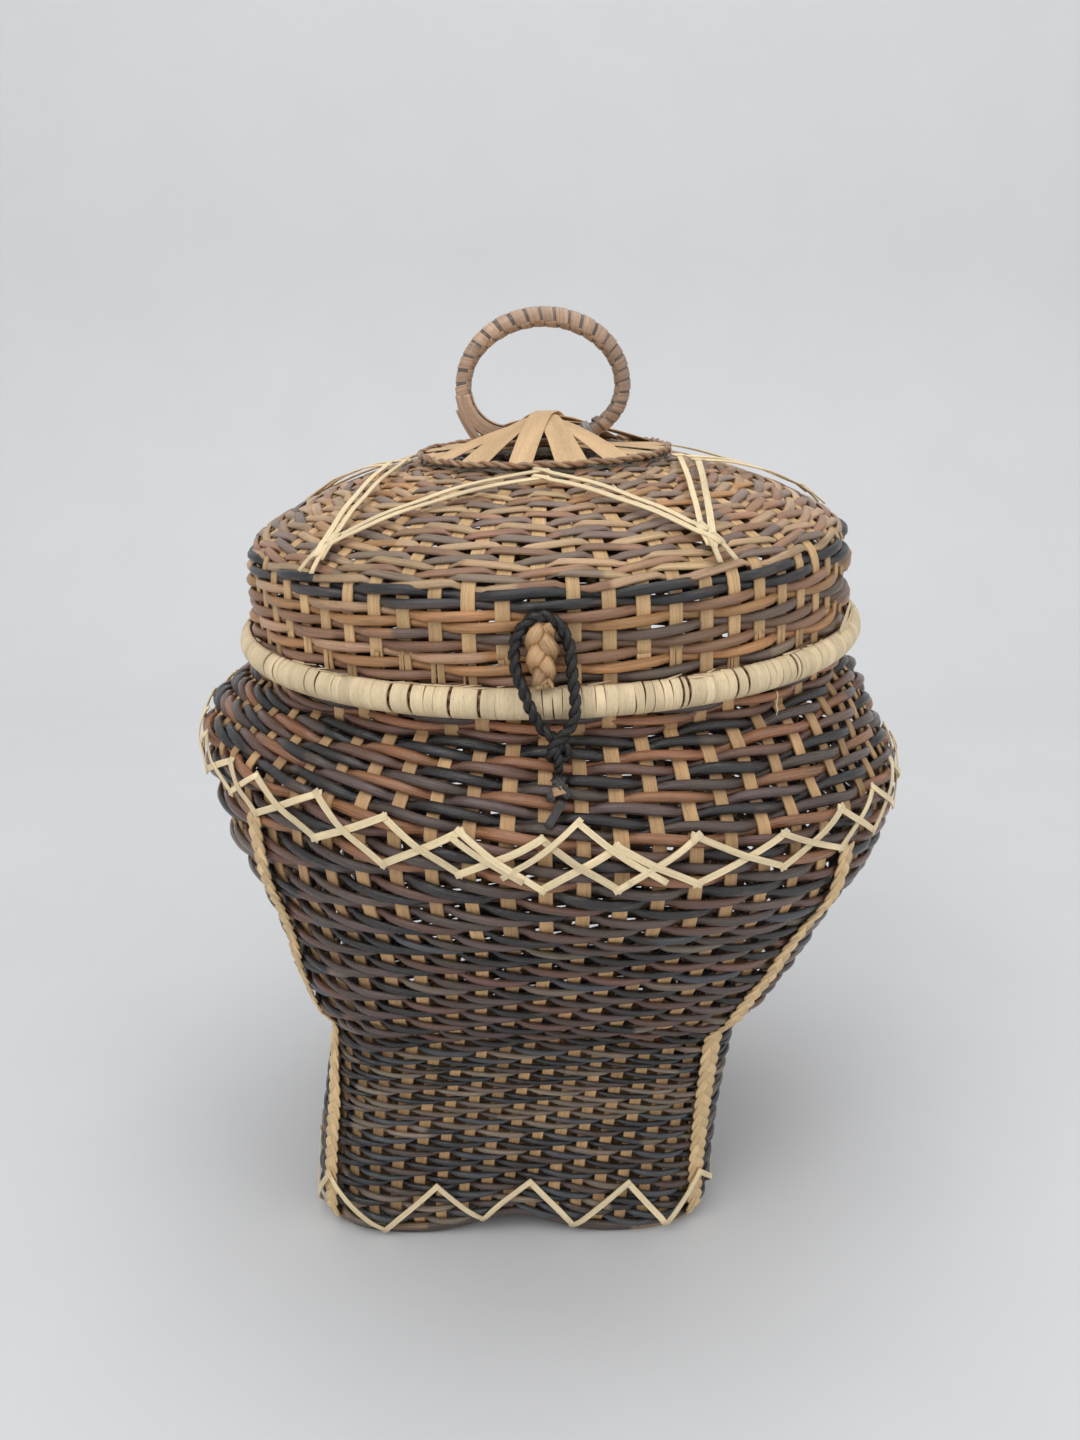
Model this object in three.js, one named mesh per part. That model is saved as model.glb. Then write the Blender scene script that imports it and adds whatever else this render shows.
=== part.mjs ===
// A lidded wicker basket. A square foot opens into a round belly and closes in
// to a round mouth. The lid has an upright woven side, a low dome and a ring
// handle. It turns on two cane eyes at the back and is held shut at the front
// by a cord loop that hooks round a braided toggle.
// Millimetres, +Z up, the front faces -Y and the floor is z = 0.

import * as THREE from 'three'

// Clearances
const GAP = 0.3
const STRIP_LIFT = 0.6

// Body outline: a height above the floor and the half width there. The drops
// are measured down from the seat of the lid.
const FOOT_HALF = 102.5
const FOOT_TUCK = 4
const FOOT_TUCK_HEIGHT = 14
const FOOT_HEIGHT = 105
const BELLY_RADIUS = 173.5
const BELLY_DROP = 55
const SHOULDER_RADIUS = 163
const SHOULDER_DROP = 32
const MOUTH_DROP = 8.5
const FLARE = [[0.15, 0.19], [0.35, 0.42], [0.58, 0.68], [0.77, 0.915]]

// Body section: 2 is round and a higher number is squarer
const FOOT_SQUARENESS = 5.5
const SQUARENESS_FALL = [[0.15, 4.2], [0.35, 3.2], [0.58, 2.5], [0.77, 2.15]]

// The hand-made lean of the body
const FOOT_SHIFT = -21.5
const SHIFT_HEIGHT = 200
const FOOT_ARCH = 11
const ARCH_FADE = 60
const ARCH_CORNER = 0.85
const BELLY_ROW_SLOPE = -0.065
const SHOULDER_ROW_SLOPE = -0.033

// Body walls
const WALL = 7
const BASE_RIM_HEIGHT = 7
const PANEL_HEIGHT = 20
const PANEL_THICK = 5
const PANEL_GAP = 1

// The seat of the lid, and how far the middle of its wrapped ring lies above it
const SEAT_HEIGHT = 290
const RIM_RISE = 4.5
const SEAT_TILT = THREE.MathUtils.degToRad(1.1)
const RIM_RADIUS = 146
const RIM_WRAP_RADIUS = 7.2
const RIM_WRAP_THICK = 1.5
const WRAP_LIP_FROM = THREE.MathUtils.degToRad(-175)
const WRAP_LIP_TO = THREE.MathUtils.degToRad(70)
const RIM_CORE_RADIUS = 4.4
const HOOP_INSET = 3
const HOOP_THICK_RADIUS = 4.5
const COLLAR_THICK = 3
const COLLAR_TOP = 16

// Lid
const SKIRT_SPREAD = 1.5
const SKIRT_WALL = 5.7
const SKIRT_TOP = 44.5
const EDGE_CANE_RADIUS = 2.4
const DOME_WALL = 5
const DOME_EDGE_SPREAD = 0.8
const DOME_RISE = [[8.3, 57], [23.3, 65.5], [48.3, 75.8], [73.3, 83.5]]
const DOME_COURSES = [7.5, 16.5, 27, 39, 53, 68.5, 85.5]
const CROWN_RADIUS = 46
const CROWN_EDGE_Z = 89.3
const DISH_INSET = 2
const DISH_Z = 83

// Straps of the crown
const STRAP_WIDTH = 8
const CENTRE_STRAP_WIDTH = 10.5
const STRAP_THICK = 0.5
const STRAP_PITCH = 1.1
const STRAP_END = 54
const STRAP_BEND = 1.4
const STRAP_FLAT = 6
const STRAP_STATIONS = [STRAP_FLAT, 13, 22, 34]
const CROWN_TURN = -11
const STRAPS_OVER = [-45, 45, -22.5, 22.5, 0]
const STRAPS_UNDER = [90, 67.5, -67.5]

// Ring handle
const HANDLE_HALF_WIDTH = 38
const HANDLE_WIDEST_Z = 117.5
const HANDLE_RISE = 32
const HANDLE_BEND = 21.5
const HANDLE_CORE_RADIUS = 3.6
const HANDLE_WRAP_THICK = 0.8
const HANDLE_WRAP_SEAT = 0.5
const WRAP_LOOPS = 24
const WRAP_STEPS = 12
const WRAP_GAP = 0.6
const WRAP_FROM = -0.135
const WRAP_TO = 0.593
const TAIL_WIDTH = 4
const TAIL_END = [-33.5, 91.6]

// Light strips
const STAR_POINTS = 5
const STAR_TURN = 29
const STAR_STRIPS = [[21, 20.5], [30.8, 12.5]]
const STAR_STATIONS = [0, 0.05, 0.12, 0.24, 0.4, 0.6, 0.8]
const STAR_WIDTH = 4
const STRIP_THICK = 0.8
const LATTICE_PERIODS = 16
const LATTICE_RISE = 2.5
const LATTICE_REACH = 10.7
const LATTICE_WIDTH = 4.5
const LATTICE_STATIONS = 3
const LATTICE_LIFT = 1.2
const BRAID_WIDTH = 8.5
const BRAID_THICK = 1.2
const BRAID_FROM = 3
const ZIGZAG_PERIODS = 4
const ZIGZAG_SPAN = [5.5, 32]
const ZIGZAG_WIDTH = 3.6
const ZIGZAG_STATIONS = 3
const ZIGZAG_LIFT = STRIP_LIFT + BRAID_THICK + 0.9

// Latch
const LATCH_X = -4
const LATCH_DROP = 19
const LATCH_EYE_X = 1.5
const LATCH_EYE_RADIUS = 4.6
const LATCH_EYE_THICK = 1.7
const CORD_RADIUS = 1.9
const LOOP_TOP = 41
const LOOP_NARROWS = 9.5
const LOOP_HALF_WIDTH = 11.7
const TOGGLE_HALF_WIDTH = 7.2
const TOGGLE_DEPTH = 9.6
const TOGGLE_SPAN = [13, 38.5]
const TAIL_DROPS = [[23.4, 28.9], [30.7, 36.7]]

// Hinge
const HINGE_X = 38
const HINGE_EYE_RADIUS = 3.4
const HINGE_EYE_THICK = 1.3
const HINGE_BAR_RADIUS = 1.5
const HINGE_BAR_HALF = 4
const HINGE_LEG_SPREAD = 4
const HINGE_FOOT_DROP = 28
const HINGE_FOOT_LIFT = 5
const HINGE_BEND_DROP = 9

// Relief of the weave below the outer surface. The flare's net has a corner on
// each of its stakes, and a row for each two rows of its twill.
const WEAVE_TOP = 0.8
const WEAVE_DEPTH = 3.4
const COURSE_TOP = 0.3
const COURSE_DEPTH = 2.8
const FLARE_STAKES = 64
const FLARE_NET_ROWS = 16

// Fineness
const BODY_SIDES = 48
const RING_STEPS = 40

// Sizes that follow from the ones above
const BELLY_HEIGHT = SEAT_HEIGHT - BELLY_DROP
const SHOULDER_HEIGHT = SEAT_HEIGHT - SHOULDER_DROP
const MOUTH_HEIGHT = SEAT_HEIGHT - MOUTH_DROP
const LATTICE_HEIGHT = BELLY_HEIGHT + LATTICE_RISE
const FOOT_ROWS = [FOOT_TUCK_HEIGHT, 45, 75]
const FLARE_ROWS = [13 / 130, 27 / 130, 43 / 130, 61 / 130, 82 / 130].map(flareHeight)
const FLARE_TOP = flareHeight(103 / 130)
const SHOULDER_ROWS = [-13, 0, 12, 23, 32].map((rise) => BELLY_HEIGHT + rise)
const FLARE_FROM = FOOT_HEIGHT + GAP
const NET_ROWS = Array.from({ length: FLARE_NET_ROWS + 1 }, (_, i) => (
  FLARE_FROM + ((FLARE_TOP - FLARE_FROM) * i) / FLARE_NET_ROWS
))
const BRAID_ROWS = [
  BRAID_FROM, BASE_RIM_HEIGHT, ...FOOT_ROWS, FOOT_HEIGHT, ...FLARE_ROWS, FLARE_TOP, SHOULDER_ROWS[0],
]
const RIM_WRAP_INNER = RIM_WRAP_RADIUS - RIM_WRAP_THICK
const RIM_CORE_MIDDLE = RIM_RADIUS + RIM_WRAP_INNER - GAP - RIM_CORE_RADIUS
const SKIRT_RADIUS = RIM_RADIUS + SKIRT_SPREAD
const SKIRT_BOTTOM = RIM_RISE + RIM_CORE_RADIUS + GAP
const HOOP_RADIUS = RIM_RADIUS - HOOP_INSET
const HOOP_REACH = RIM_WRAP_RADIUS + HOOP_THICK_RADIUS + GAP
const HOOP_Z = RIM_RISE - Math.sqrt(HOOP_REACH ** 2 - HOOP_INSET ** 2)
const COLLAR_BOTTOM = HOOP_Z - HOOP_THICK_RADIUS
const COLLAR_RADIUS = HOOP_RADIUS - HOOP_THICK_RADIUS - GAP
const WALL_TOP = SEAT_HEIGHT + COLLAR_BOTTOM - GAP
const EDGE_CANE_Z = SKIRT_TOP + GAP + EDGE_CANE_RADIUS
const EDGE_CANE_MIDDLE = SKIRT_RADIUS + DOME_EDGE_SPREAD - EDGE_CANE_RADIUS
const DOME_EDGE_RADIUS = SKIRT_RADIUS + DOME_EDGE_SPREAD
const DOME_EDGE_Z = EDGE_CANE_Z + EDGE_CANE_RADIUS + GAP
const HANDLE_BOTTOM_Z = HANDLE_WIDEST_Z - HANDLE_BEND
const OVER_STRAP_Z = HANDLE_BOTTOM_Z + HANDLE_CORE_RADIUS + 4 * GAP
const UNDER_STRAP_Z = HANDLE_BOTTOM_Z - HANDLE_CORE_RADIUS - GAP - STRAP_THICK
const HINGE_TURN = Math.asin(HINGE_X / (RIM_RADIUS + RIM_WRAP_RADIUS))
const HINGE_SEAT_Y = facetReach(RIM_RADIUS + RIM_WRAP_RADIUS, HINGE_TURN) * Math.cos(HINGE_TURN)
const HINGE_Y = HINGE_SEAT_Y + GAP + HINGE_EYE_RADIUS + HINGE_EYE_THICK

const CANE = { color: 0xd8b98a, roughness: 0.55, metalness: 0 }
const PALE = { color: 0xe6d3a3, roughness: 0.6, metalness: 0 }
const WOVEN = { color: 0x6b4a36, roughness: 0.7, metalness: 0 }
const WOVEN_LID = { color: 0x9a6b45, roughness: 0.7, metalness: 0 }
const DARK = { color: 0x2e2420, roughness: 0.6, metalness: 0 }

const FRONT = -Math.PI / 2
const DEGREE = Math.PI / 180

const basket = new THREE.Group()
const seat = new THREE.Group()
seat.position.z = SEAT_HEIGHT
seat.rotation.y = -SEAT_TILT
basket.add(seat)

// A height in the flare between the foot and the belly.
function flareHeight(share) {
  return FOOT_HEIGHT + share * (BELLY_HEIGHT - FOOT_HEIGHT)
}

// How far a turned body reaches at an angle from the back, between its steps.
function facetReach(radius, angle) {
  const half = Math.PI / RING_STEPS
  return (radius * Math.cos(half)) / Math.cos((angle % (2 * half)) - half)
}

function place(parent, name, geometry, finish) {
  const mesh = new THREE.Mesh(geometry, new THREE.MeshStandardMaterial(finish))
  mesh.name = name
  parent.add(mesh)
}

// Turns a closed body inside out where its faces point in.
function outward(geometry) {
  const at = geometry.getAttribute('position')
  const index = geometry.getIndex()
  const a = new THREE.Vector3()
  const b = new THREE.Vector3()
  const c = new THREE.Vector3()
  const corner = (i) => (index ? index.getX(i) : i)
  const count = index ? index.count : at.count
  let volume = 0
  for (let i = 0; i < count; i += 3) {
    a.fromBufferAttribute(at, corner(i))
    b.fromBufferAttribute(at, corner(i + 1))
    c.fromBufferAttribute(at, corner(i + 2))
    volume += a.dot(b.cross(c))
  }
  if (volume < 0 && index) {
    const flipped = Array.from(index.array).reverse()
    geometry.setIndex(flipped)
  }
  geometry.computeVertexNormals()
  return geometry
}

// A closed body through a row of sections that all have the same number of
// points. A looped row joins its last section to its first.
function skin(sections, looped) {
  const sides = sections[0].length
  const index = []
  const rows = looped ? sections.length : sections.length - 1
  for (let i = 0; i < rows; i += 1) {
    const here = i * sides
    const next = ((i + 1) % sections.length) * sides
    for (let j = 0; j < sides; j += 1) {
      const k = (j + 1) % sides
      index.push(here + j, next + j, next + k)
      index.push(here + j, next + k, here + k)
    }
  }
  if (!looped) {
    const last = (sections.length - 1) * sides
    for (let j = 1; j < sides - 1; j += 1) {
      index.push(0, j, j + 1)
      index.push(last, last + j + 1, last + j)
    }
  }
  const geometry = new THREE.BufferGeometry()
  geometry.setFromPoints(sections.flat())
  geometry.setIndex(index)
  return outward(geometry)
}

// A body turned round the Z axis from a profile of [radius, z] points.
function turned(profile, steps = RING_STEPS) {
  const points = profile.map(([radius, z]) => new THREE.Vector2(radius, z))
  const geometry = new THREE.LatheGeometry(points, steps)
  geometry.rotateX(Math.PI / 2)
  return outward(geometry)
}

function band(inner, outer, bottom, top) {
  return turned([[inner, bottom], [outer, bottom], [outer, top], [inner, top], [inner, bottom]])
}

function hoop(middle, thick, z, sides = 6) {
  const geometry = new THREE.TorusGeometry(middle, thick, sides, RING_STEPS)
  geometry.translate(0, 0, z)
  return geometry
}

// A ring that stands in the YZ plane.
function eye(middle, thick, centre) {
  const geometry = new THREE.TorusGeometry(middle, thick, 6, 16)
  geometry.rotateY(Math.PI / 2)
  geometry.translate(centre.x, centre.y, centre.z)
  return geometry
}

// A round cane along an open curve.
function cane(curve, radius, steps, sides = 8) {
  const section = new THREE.Shape()
  for (let j = 0; j < sides; j += 1) {
    const angle = (2 * Math.PI * j) / sides
    const x = radius * Math.cos(angle)
    const y = radius * Math.sin(angle)
    if (j === 0) section.moveTo(x, y)
    else section.lineTo(x, y)
  }
  return new THREE.ExtrudeGeometry(section, { steps, bevelEnabled: false, extrudePath: curve })
}

// A round cane along a closed curve.
function closedCane(curve, radius, steps, sides = 8) {
  const frames = curve.computeFrenetFrames(steps, true)
  const sections = []
  for (let i = 0; i < steps; i += 1) {
    const section = []
    for (let j = 0; j < sides; j += 1) {
      const angle = (2 * Math.PI * j) / sides
      const point = curve.getPointAt(i / steps)
      point.addScaledVector(frames.normals[i], radius * Math.cos(angle))
      point.addScaledVector(frames.binormals[i], radius * Math.sin(angle))
      section.push(point)
    }
    sections.push(section)
  }
  return skin(sections, true)
}

// A smooth function through [x, y] points that never overshoots them.
function through(points) {
  const last = points.length - 1
  const rise = []
  for (let i = 0; i < last; i += 1) {
    rise.push((points[i + 1][1] - points[i][1]) / (points[i + 1][0] - points[i][0]))
  }
  const slope = points.map((_, i) => {
    if (i === 0) return rise[0]
    if (i === last) return rise[last - 1]
    if (rise[i - 1] * rise[i] <= 0) return 0
    return (2 * rise[i - 1] * rise[i]) / (rise[i - 1] + rise[i])
  })
  return (x) => {
    let i = 0
    while (i < last - 1 && x > points[i + 1][0]) i += 1
    const span = points[i + 1][0] - points[i][0]
    const t = THREE.MathUtils.clamp((x - points[i][0]) / span, 0, 1)
    const from = points[i][1] + slope[i] * span * t
    const to = points[i + 1][1] - slope[i + 1] * span * (1 - t)
    const blend = t * t * (3 - 2 * t)
    return from + (to - from) * blend
  }
}

// Body surface
const flareHalf = (share) => FOOT_HALF + share * (BELLY_RADIUS - FOOT_HALF)
const halfWidth = through([
  [0, FOOT_HALF - FOOT_TUCK],
  [FOOT_TUCK_HEIGHT, FOOT_HALF],
  [FOOT_HEIGHT, FOOT_HALF],
  ...FLARE.map(([height, half]) => [flareHeight(height), flareHalf(half)]),
  [BELLY_HEIGHT, BELLY_RADIUS],
  [SHOULDER_HEIGHT, SHOULDER_RADIUS],
  [MOUTH_HEIGHT, HOOP_RADIUS + 0.8],
])
const squareness = through([
  [0, FOOT_SQUARENESS],
  [FOOT_HEIGHT, FOOT_SQUARENESS],
  ...SQUARENESS_FALL.map(([height, power]) => [flareHeight(height), power]),
  [BELLY_HEIGHT, 2],
  [MOUTH_HEIGHT, 2],
])
const rowSlope = through([
  [0, 0],
  [FOOT_HEIGHT, 0],
  [flareHeight(0.5), BELLY_ROW_SLOPE / 6],
  [BELLY_HEIGHT, BELLY_ROW_SLOPE],
  [SHOULDER_HEIGHT, SHOULDER_ROW_SLOPE],
  [MOUTH_HEIGHT - 4, Math.tan(SEAT_TILT)],
  [MOUTH_HEIGHT, Math.tan(SEAT_TILT)],
])

function bodyPoint(angle, height, inset = 0) {
  const power = squareness(height)
  const cos = Math.abs(Math.cos(angle)) ** power
  const sin = Math.abs(Math.sin(angle)) ** power
  const steep = halfWidth(height + 1) - halfWidth(height - 1)
  const radius = halfWidth(height) / (cos + sin) ** (1 / power) - inset * Math.hypot(1, steep / 2)
  const x = radius * Math.cos(angle)
  const shift = FOOT_SHIFT * (1 - THREE.MathUtils.smoothstep(height, 0, SHIFT_HEIGHT))
  const middle = 1 - THREE.MathUtils.smoothstep(Math.abs(Math.sin(2 * angle)), 0, ARCH_CORNER)
  const fade = Math.max(0, 1 - height / ARCH_FADE) ** 2
  const z = height + FOOT_ARCH * middle * fade + rowSlope(height) * x
  return new THREE.Vector3(x + shift, radius * Math.sin(angle), z)
}

// Dome surface, in the lid's own frame, from the crown out to the edge
const domeLine = [
  [CROWN_RADIUS, CROWN_EDGE_Z],
  ...DOME_RISE.map(([inset, z]) => [DOME_EDGE_RADIUS - inset, z]).reverse(),
  [DOME_EDGE_RADIUS, DOME_EDGE_Z],
]
const domeHeight = through(domeLine)

function domePoint(angle, radius) {
  return new THREE.Vector3(radius * Math.cos(angle), radius * Math.sin(angle), domeHeight(radius))
}

// The outward normal of a surface given by two numbers.
function normalOf(surface, u, v) {
  const across = surface(u + 0.002, v).sub(surface(u - 0.002, v))
  const along = surface(u, v + 0.2).sub(surface(u, v - 0.2))
  const normal = across.cross(along).normalize()
  const out = surface(u, v)
  const outwards = out.x * normal.x + out.y * normal.y + 30 * normal.z * Math.sign(out.z)
  return outwards < 0 ? normal.negate() : normal
}

// A flat strip laid on a surface along a path of [u, v] stations.
function strip(surface, path, width, thick, lift, looped) {
  const points = path.map(([u, v]) => surface(u, v))
  const count = points.length
  const sections = points.map((point, i) => {
    const before = points[looped ? (i + count - 1) % count : Math.max(0, i - 1)]
    const after = points[looped ? (i + 1) % count : Math.min(count - 1, i + 1)]
    const arriving = point.clone().sub(before).normalize()
    const leaving = after.clone().sub(point).normalize()
    const tangent = arriving.clone().add(leaving).normalize()
    const mitre = Math.min(1.8, 1 / Math.max(0.5, tangent.dot(leaving.lengthSq() ? leaving : arriving)))
    const normal = normalOf(surface, path[i][0], path[i][1])
    const side = normal.clone().cross(tangent).normalize().multiplyScalar((width / 2) * mitre)
    const low = point.clone().addScaledVector(normal, lift)
    const high = point.clone().addScaledVector(normal, lift + thick)
    return [low.clone().sub(side), low.clone().add(side), high.clone().add(side), high.clone().sub(side)]
  })
  return skin(sections, looped)
}

// A wall of the body through a list of heights outside and one inside. Its
// relief is the depth at each corner of its net, counted round it and up it.
function bodyWall(rows, innerRows = rows, sides = BODY_SIDES, relief = () => 0) {
  const sections = []
  for (let i = 0; i < sides; i += 1) {
    const angle = (2 * Math.PI * i) / sides
    const outer = rows.map((row, k) => bodyPoint(angle, row, relief(i, k)))
    const inner = innerRows.map((row) => bodyPoint(angle, row, WALL)).reverse()
    sections.push([...outer, ...inner])
  }
  return skin(sections, true)
}

// The flare's twill: over two stakes and behind two, two stakes on each time.
function twill(stake, row) {
  if (row === 0 || row === FLARE_NET_ROWS) return 0
  return (Math.floor(stake / 2) + row) % 2 ? WEAVE_DEPTH : WEAVE_TOP
}

// The woven bottom, a flat slab that fits inside the foot.
function basePanel() {
  const ring = (height) => {
    const points = []
    for (let i = 0; i < BODY_SIDES; i += 1) {
      const point = bodyPoint((2 * Math.PI * i) / BODY_SIDES, PANEL_HEIGHT, WALL + PANEL_GAP)
      points.push(point.setZ(height))
    }
    return points
  }
  return skin([ring(PANEL_HEIGHT), ring(PANEL_HEIGHT + PANEL_THICK)], false)
}

// Zigzag stations between two heights.
function zigzag(vertices, angleOf, low, high, phase, between) {
  const path = []
  for (let i = 0; i < vertices * between; i += 1) {
    const at = i / between
    const corner = Math.floor(at)
    const share = at - corner
    const from = (corner + phase) % 2 ? high : low
    const to = (corner + phase) % 2 ? low : high
    path.push([angleOf(at), THREE.MathUtils.lerp(from, to, share)])
  }
  return path
}

function buildBody() {
  place(basket, 'base_panel', basePanel(), WOVEN)
  place(basket, 'base_rim', bodyWall([0, BASE_RIM_HEIGHT]), CANE)
  const footFrom = BASE_RIM_HEIGHT + GAP
  const footInner = [footFrom, FOOT_TUCK_HEIGHT, FOOT_ROWS[1], FOOT_HEIGHT]
  place(basket, 'foot_wall', bodyWall([footFrom, ...FOOT_ROWS, FOOT_HEIGHT], footInner), WOVEN)
  const flareInner = [FLARE_FROM, FLARE_ROWS[0], FLARE_ROWS[3], FLARE_TOP]
  place(basket, 'flare_wall', bodyWall(NET_ROWS, flareInner, FLARE_STAKES, twill), WOVEN)
  const shoulderFrom = FLARE_TOP + GAP
  const shoulderInner = [shoulderFrom, BELLY_HEIGHT, SHOULDER_HEIGHT, WALL_TOP]
  const shoulder = bodyWall([shoulderFrom, ...SHOULDER_ROWS, WALL_TOP], shoulderInner)
  place(basket, 'shoulder_wall', shoulder, WOVEN)
}

function buildBodyStrips() {
  for (let corner = 0; corner < 4; corner += 1) {
    const angle = Math.PI / 4 + (corner * Math.PI) / 2
    const path = BRAID_ROWS.map((row) => [angle, row])
    const geometry = strip(bodyPoint, path, BRAID_WIDTH, BRAID_THICK, STRIP_LIFT, false)
    place(basket, `corner_braid_${corner + 1}`, geometry, PALE)
  }

  const low = LATTICE_HEIGHT - LATTICE_REACH
  const high = LATTICE_HEIGHT + LATTICE_REACH
  const roundBelly = (at) => FRONT + (Math.PI * at) / LATTICE_PERIODS
  for (let phase = 0; phase < 2; phase += 1) {
    const path = zigzag(2 * LATTICE_PERIODS, roundBelly, low, high, phase, LATTICE_STATIONS)
    const lift = LATTICE_LIFT + phase * (STRIP_THICK + 2 * GAP)
    const geometry = strip(bodyPoint, path, LATTICE_WIDTH, STRIP_THICK, lift, true)
    place(basket, `lattice_strip_${phase + 1}`, geometry, PALE)
  }

  const perSide = 2 * ZIGZAG_PERIODS
  const roundFoot = (at) => {
    const side = Math.floor(at / perSide)
    const share = (2 * (at - side * perSide)) / perSide - 1
    return FRONT + (side * Math.PI) / 2 + Math.atan(share)
  }
  const path = zigzag(4 * perSide, roundFoot, ZIGZAG_SPAN[0], ZIGZAG_SPAN[1], 1, ZIGZAG_STATIONS)
  const foot = strip(bodyPoint, path, ZIGZAG_WIDTH, STRIP_THICK, ZIGZAG_LIFT, true)
  place(basket, 'foot_zigzag', foot, PALE)
}

function buildMouth() {
  place(seat, 'mouth_hoop', hoop(HOOP_RADIUS, HOOP_THICK_RADIUS, HOOP_Z), CANE)
  const collar = band(COLLAR_RADIUS - COLLAR_THICK, COLLAR_RADIUS, COLLAR_BOTTOM, COLLAR_TOP)
  place(seat, 'neck_collar', collar, CANE)
}

// The wrapping of the lid's ring, open where the lid's side comes in.
function rimWrapProfile() {
  const steps = 7
  const outer = []
  const inner = []
  for (let i = 0; i <= steps; i += 1) {
    const angle = THREE.MathUtils.lerp(WRAP_LIP_FROM, WRAP_LIP_TO, i / steps)
    const cos = Math.cos(angle)
    const sin = Math.sin(angle)
    outer.push([RIM_RADIUS + RIM_WRAP_RADIUS * cos, RIM_RISE + RIM_WRAP_RADIUS * sin])
    inner.unshift([RIM_RADIUS + RIM_WRAP_INNER * cos, RIM_RISE + RIM_WRAP_INNER * sin])
  }
  return [...outer, ...inner, outer[0]]
}

// A point of the dome's profile at a depth below its surface.
function domeInset(radius, depth) {
  const steep = (domeHeight(radius + 1) - domeHeight(radius - 1)) / 2
  const scale = depth / Math.hypot(1, steep)
  return [radius + steep * scale, domeHeight(radius) - scale]
}

// The dome's courses stand out, with grooves where its stakes show between.
function domeProfile() {
  const courses = DOME_COURSES.map((inset) => DOME_EDGE_RADIUS - inset)
  const outer = [[DOME_EDGE_RADIUS, DOME_EDGE_Z]]
  courses.forEach((radius, i) => {
    const next = courses[i + 1] ?? CROWN_RADIUS
    outer.unshift(domeInset(radius, COURSE_TOP))
    outer.unshift(domeInset((radius + next) / 2, COURSE_DEPTH))
  })
  outer.unshift([CROWN_RADIUS, CROWN_EDGE_Z])
  const innerRadii = [0, 2, 4].map((i) => domeLine[i][0])
  const inner = innerRadii.map((radius) => domeInset(radius, DOME_WALL))
  inner.push([DOME_EDGE_RADIUS - DOME_WALL, DOME_EDGE_Z])
  const dishRadius = CROWN_RADIUS - DISH_INSET
  const floor = DISH_Z - DOME_WALL
  return [
    [0, DISH_Z],
    [dishRadius, DISH_Z],
    ...outer,
    ...inner.reverse(),
    [dishRadius - DOME_WALL, floor],
    [0, floor],
  ]
}

// Height of a crown strap's underside at a distance from the middle.
function strapHeight(top, distance) {
  const edge = CROWN_EDGE_Z + 2 * GAP
  if (distance > CROWN_RADIUS) return domeHeight(distance) + 2 * GAP
  const share = Math.max(0, distance - STRAP_FLAT) / (CROWN_RADIUS - STRAP_FLAT)
  return edge + (top - edge) * (1 - share ** STRAP_BEND)
}

// A strap right across the crown, square to a direction from the front.
function crownStrap(turn, top, width) {
  const angle = FRONT + (CROWN_TURN + turn) * DEGREE
  const direction = new THREE.Vector3(Math.cos(angle), Math.sin(angle), 0)
  const side = new THREE.Vector3(-direction.y, direction.x, 0).multiplyScalar(width / 2)
  const half = [...STRAP_STATIONS, CROWN_RADIUS, STRAP_END]
  const stations = [...half.map((at) => -at).reverse(), ...half]
  const sections = stations.map((at) => {
    const low = direction.clone().multiplyScalar(at)
    low.z = strapHeight(top, Math.abs(at))
    const high = low.clone()
    high.z += STRAP_THICK
    return [low.clone().sub(side), low.clone().add(side), high.clone().add(side), high.clone().sub(side)]
  })
  return skin(sections, false)
}

function buildCrown() {
  STRAPS_OVER.forEach((turn, layer) => {
    const width = turn === 0 ? CENTRE_STRAP_WIDTH : STRAP_WIDTH
    const strap = crownStrap(turn, OVER_STRAP_Z + layer * STRAP_PITCH, width)
    place(seat, `crown_strap_${layer + 1}`, strap, CANE)
  })
  STRAPS_UNDER.forEach((turn, layer) => {
    const strap = crownStrap(turn, UNDER_STRAP_Z - layer * STRAP_PITCH, STRAP_WIDTH)
    place(seat, `crown_strap_${STRAPS_OVER.length + layer + 1}`, strap, CANE)
  })
}

function buildLid() {
  const core = hoop(RIM_CORE_MIDDLE, RIM_CORE_RADIUS, RIM_RISE)
  place(seat, 'lid_rim_core', core, DARK)
  place(seat, 'lid_rim_binding', turned(rimWrapProfile()), PALE)
  const side = band(SKIRT_RADIUS - SKIRT_WALL, SKIRT_RADIUS, SKIRT_BOTTOM, SKIRT_TOP)
  place(seat, 'lid_side', side, WOVEN_LID)
  place(seat, 'lid_edge_cane', hoop(EDGE_CANE_MIDDLE, EDGE_CANE_RADIUS, EDGE_CANE_Z), DARK)
  place(seat, 'lid_dome', turned(domeProfile()), WOVEN_LID)

  STAR_STRIPS.forEach(([fromCrown, fromEdge], i) => {
    const angleOf = (at) => FRONT + (STAR_TURN + (at * 180) / STAR_POINTS) * DEGREE
    const path = starPath(CROWN_RADIUS + fromCrown, DOME_EDGE_RADIUS - fromEdge, angleOf)
    const star = strip(domePoint, path, STAR_WIDTH, STRIP_THICK, STRIP_LIFT, true)
    place(seat, `star_strip_${i + 1}`, star, PALE)
  })
}

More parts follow.
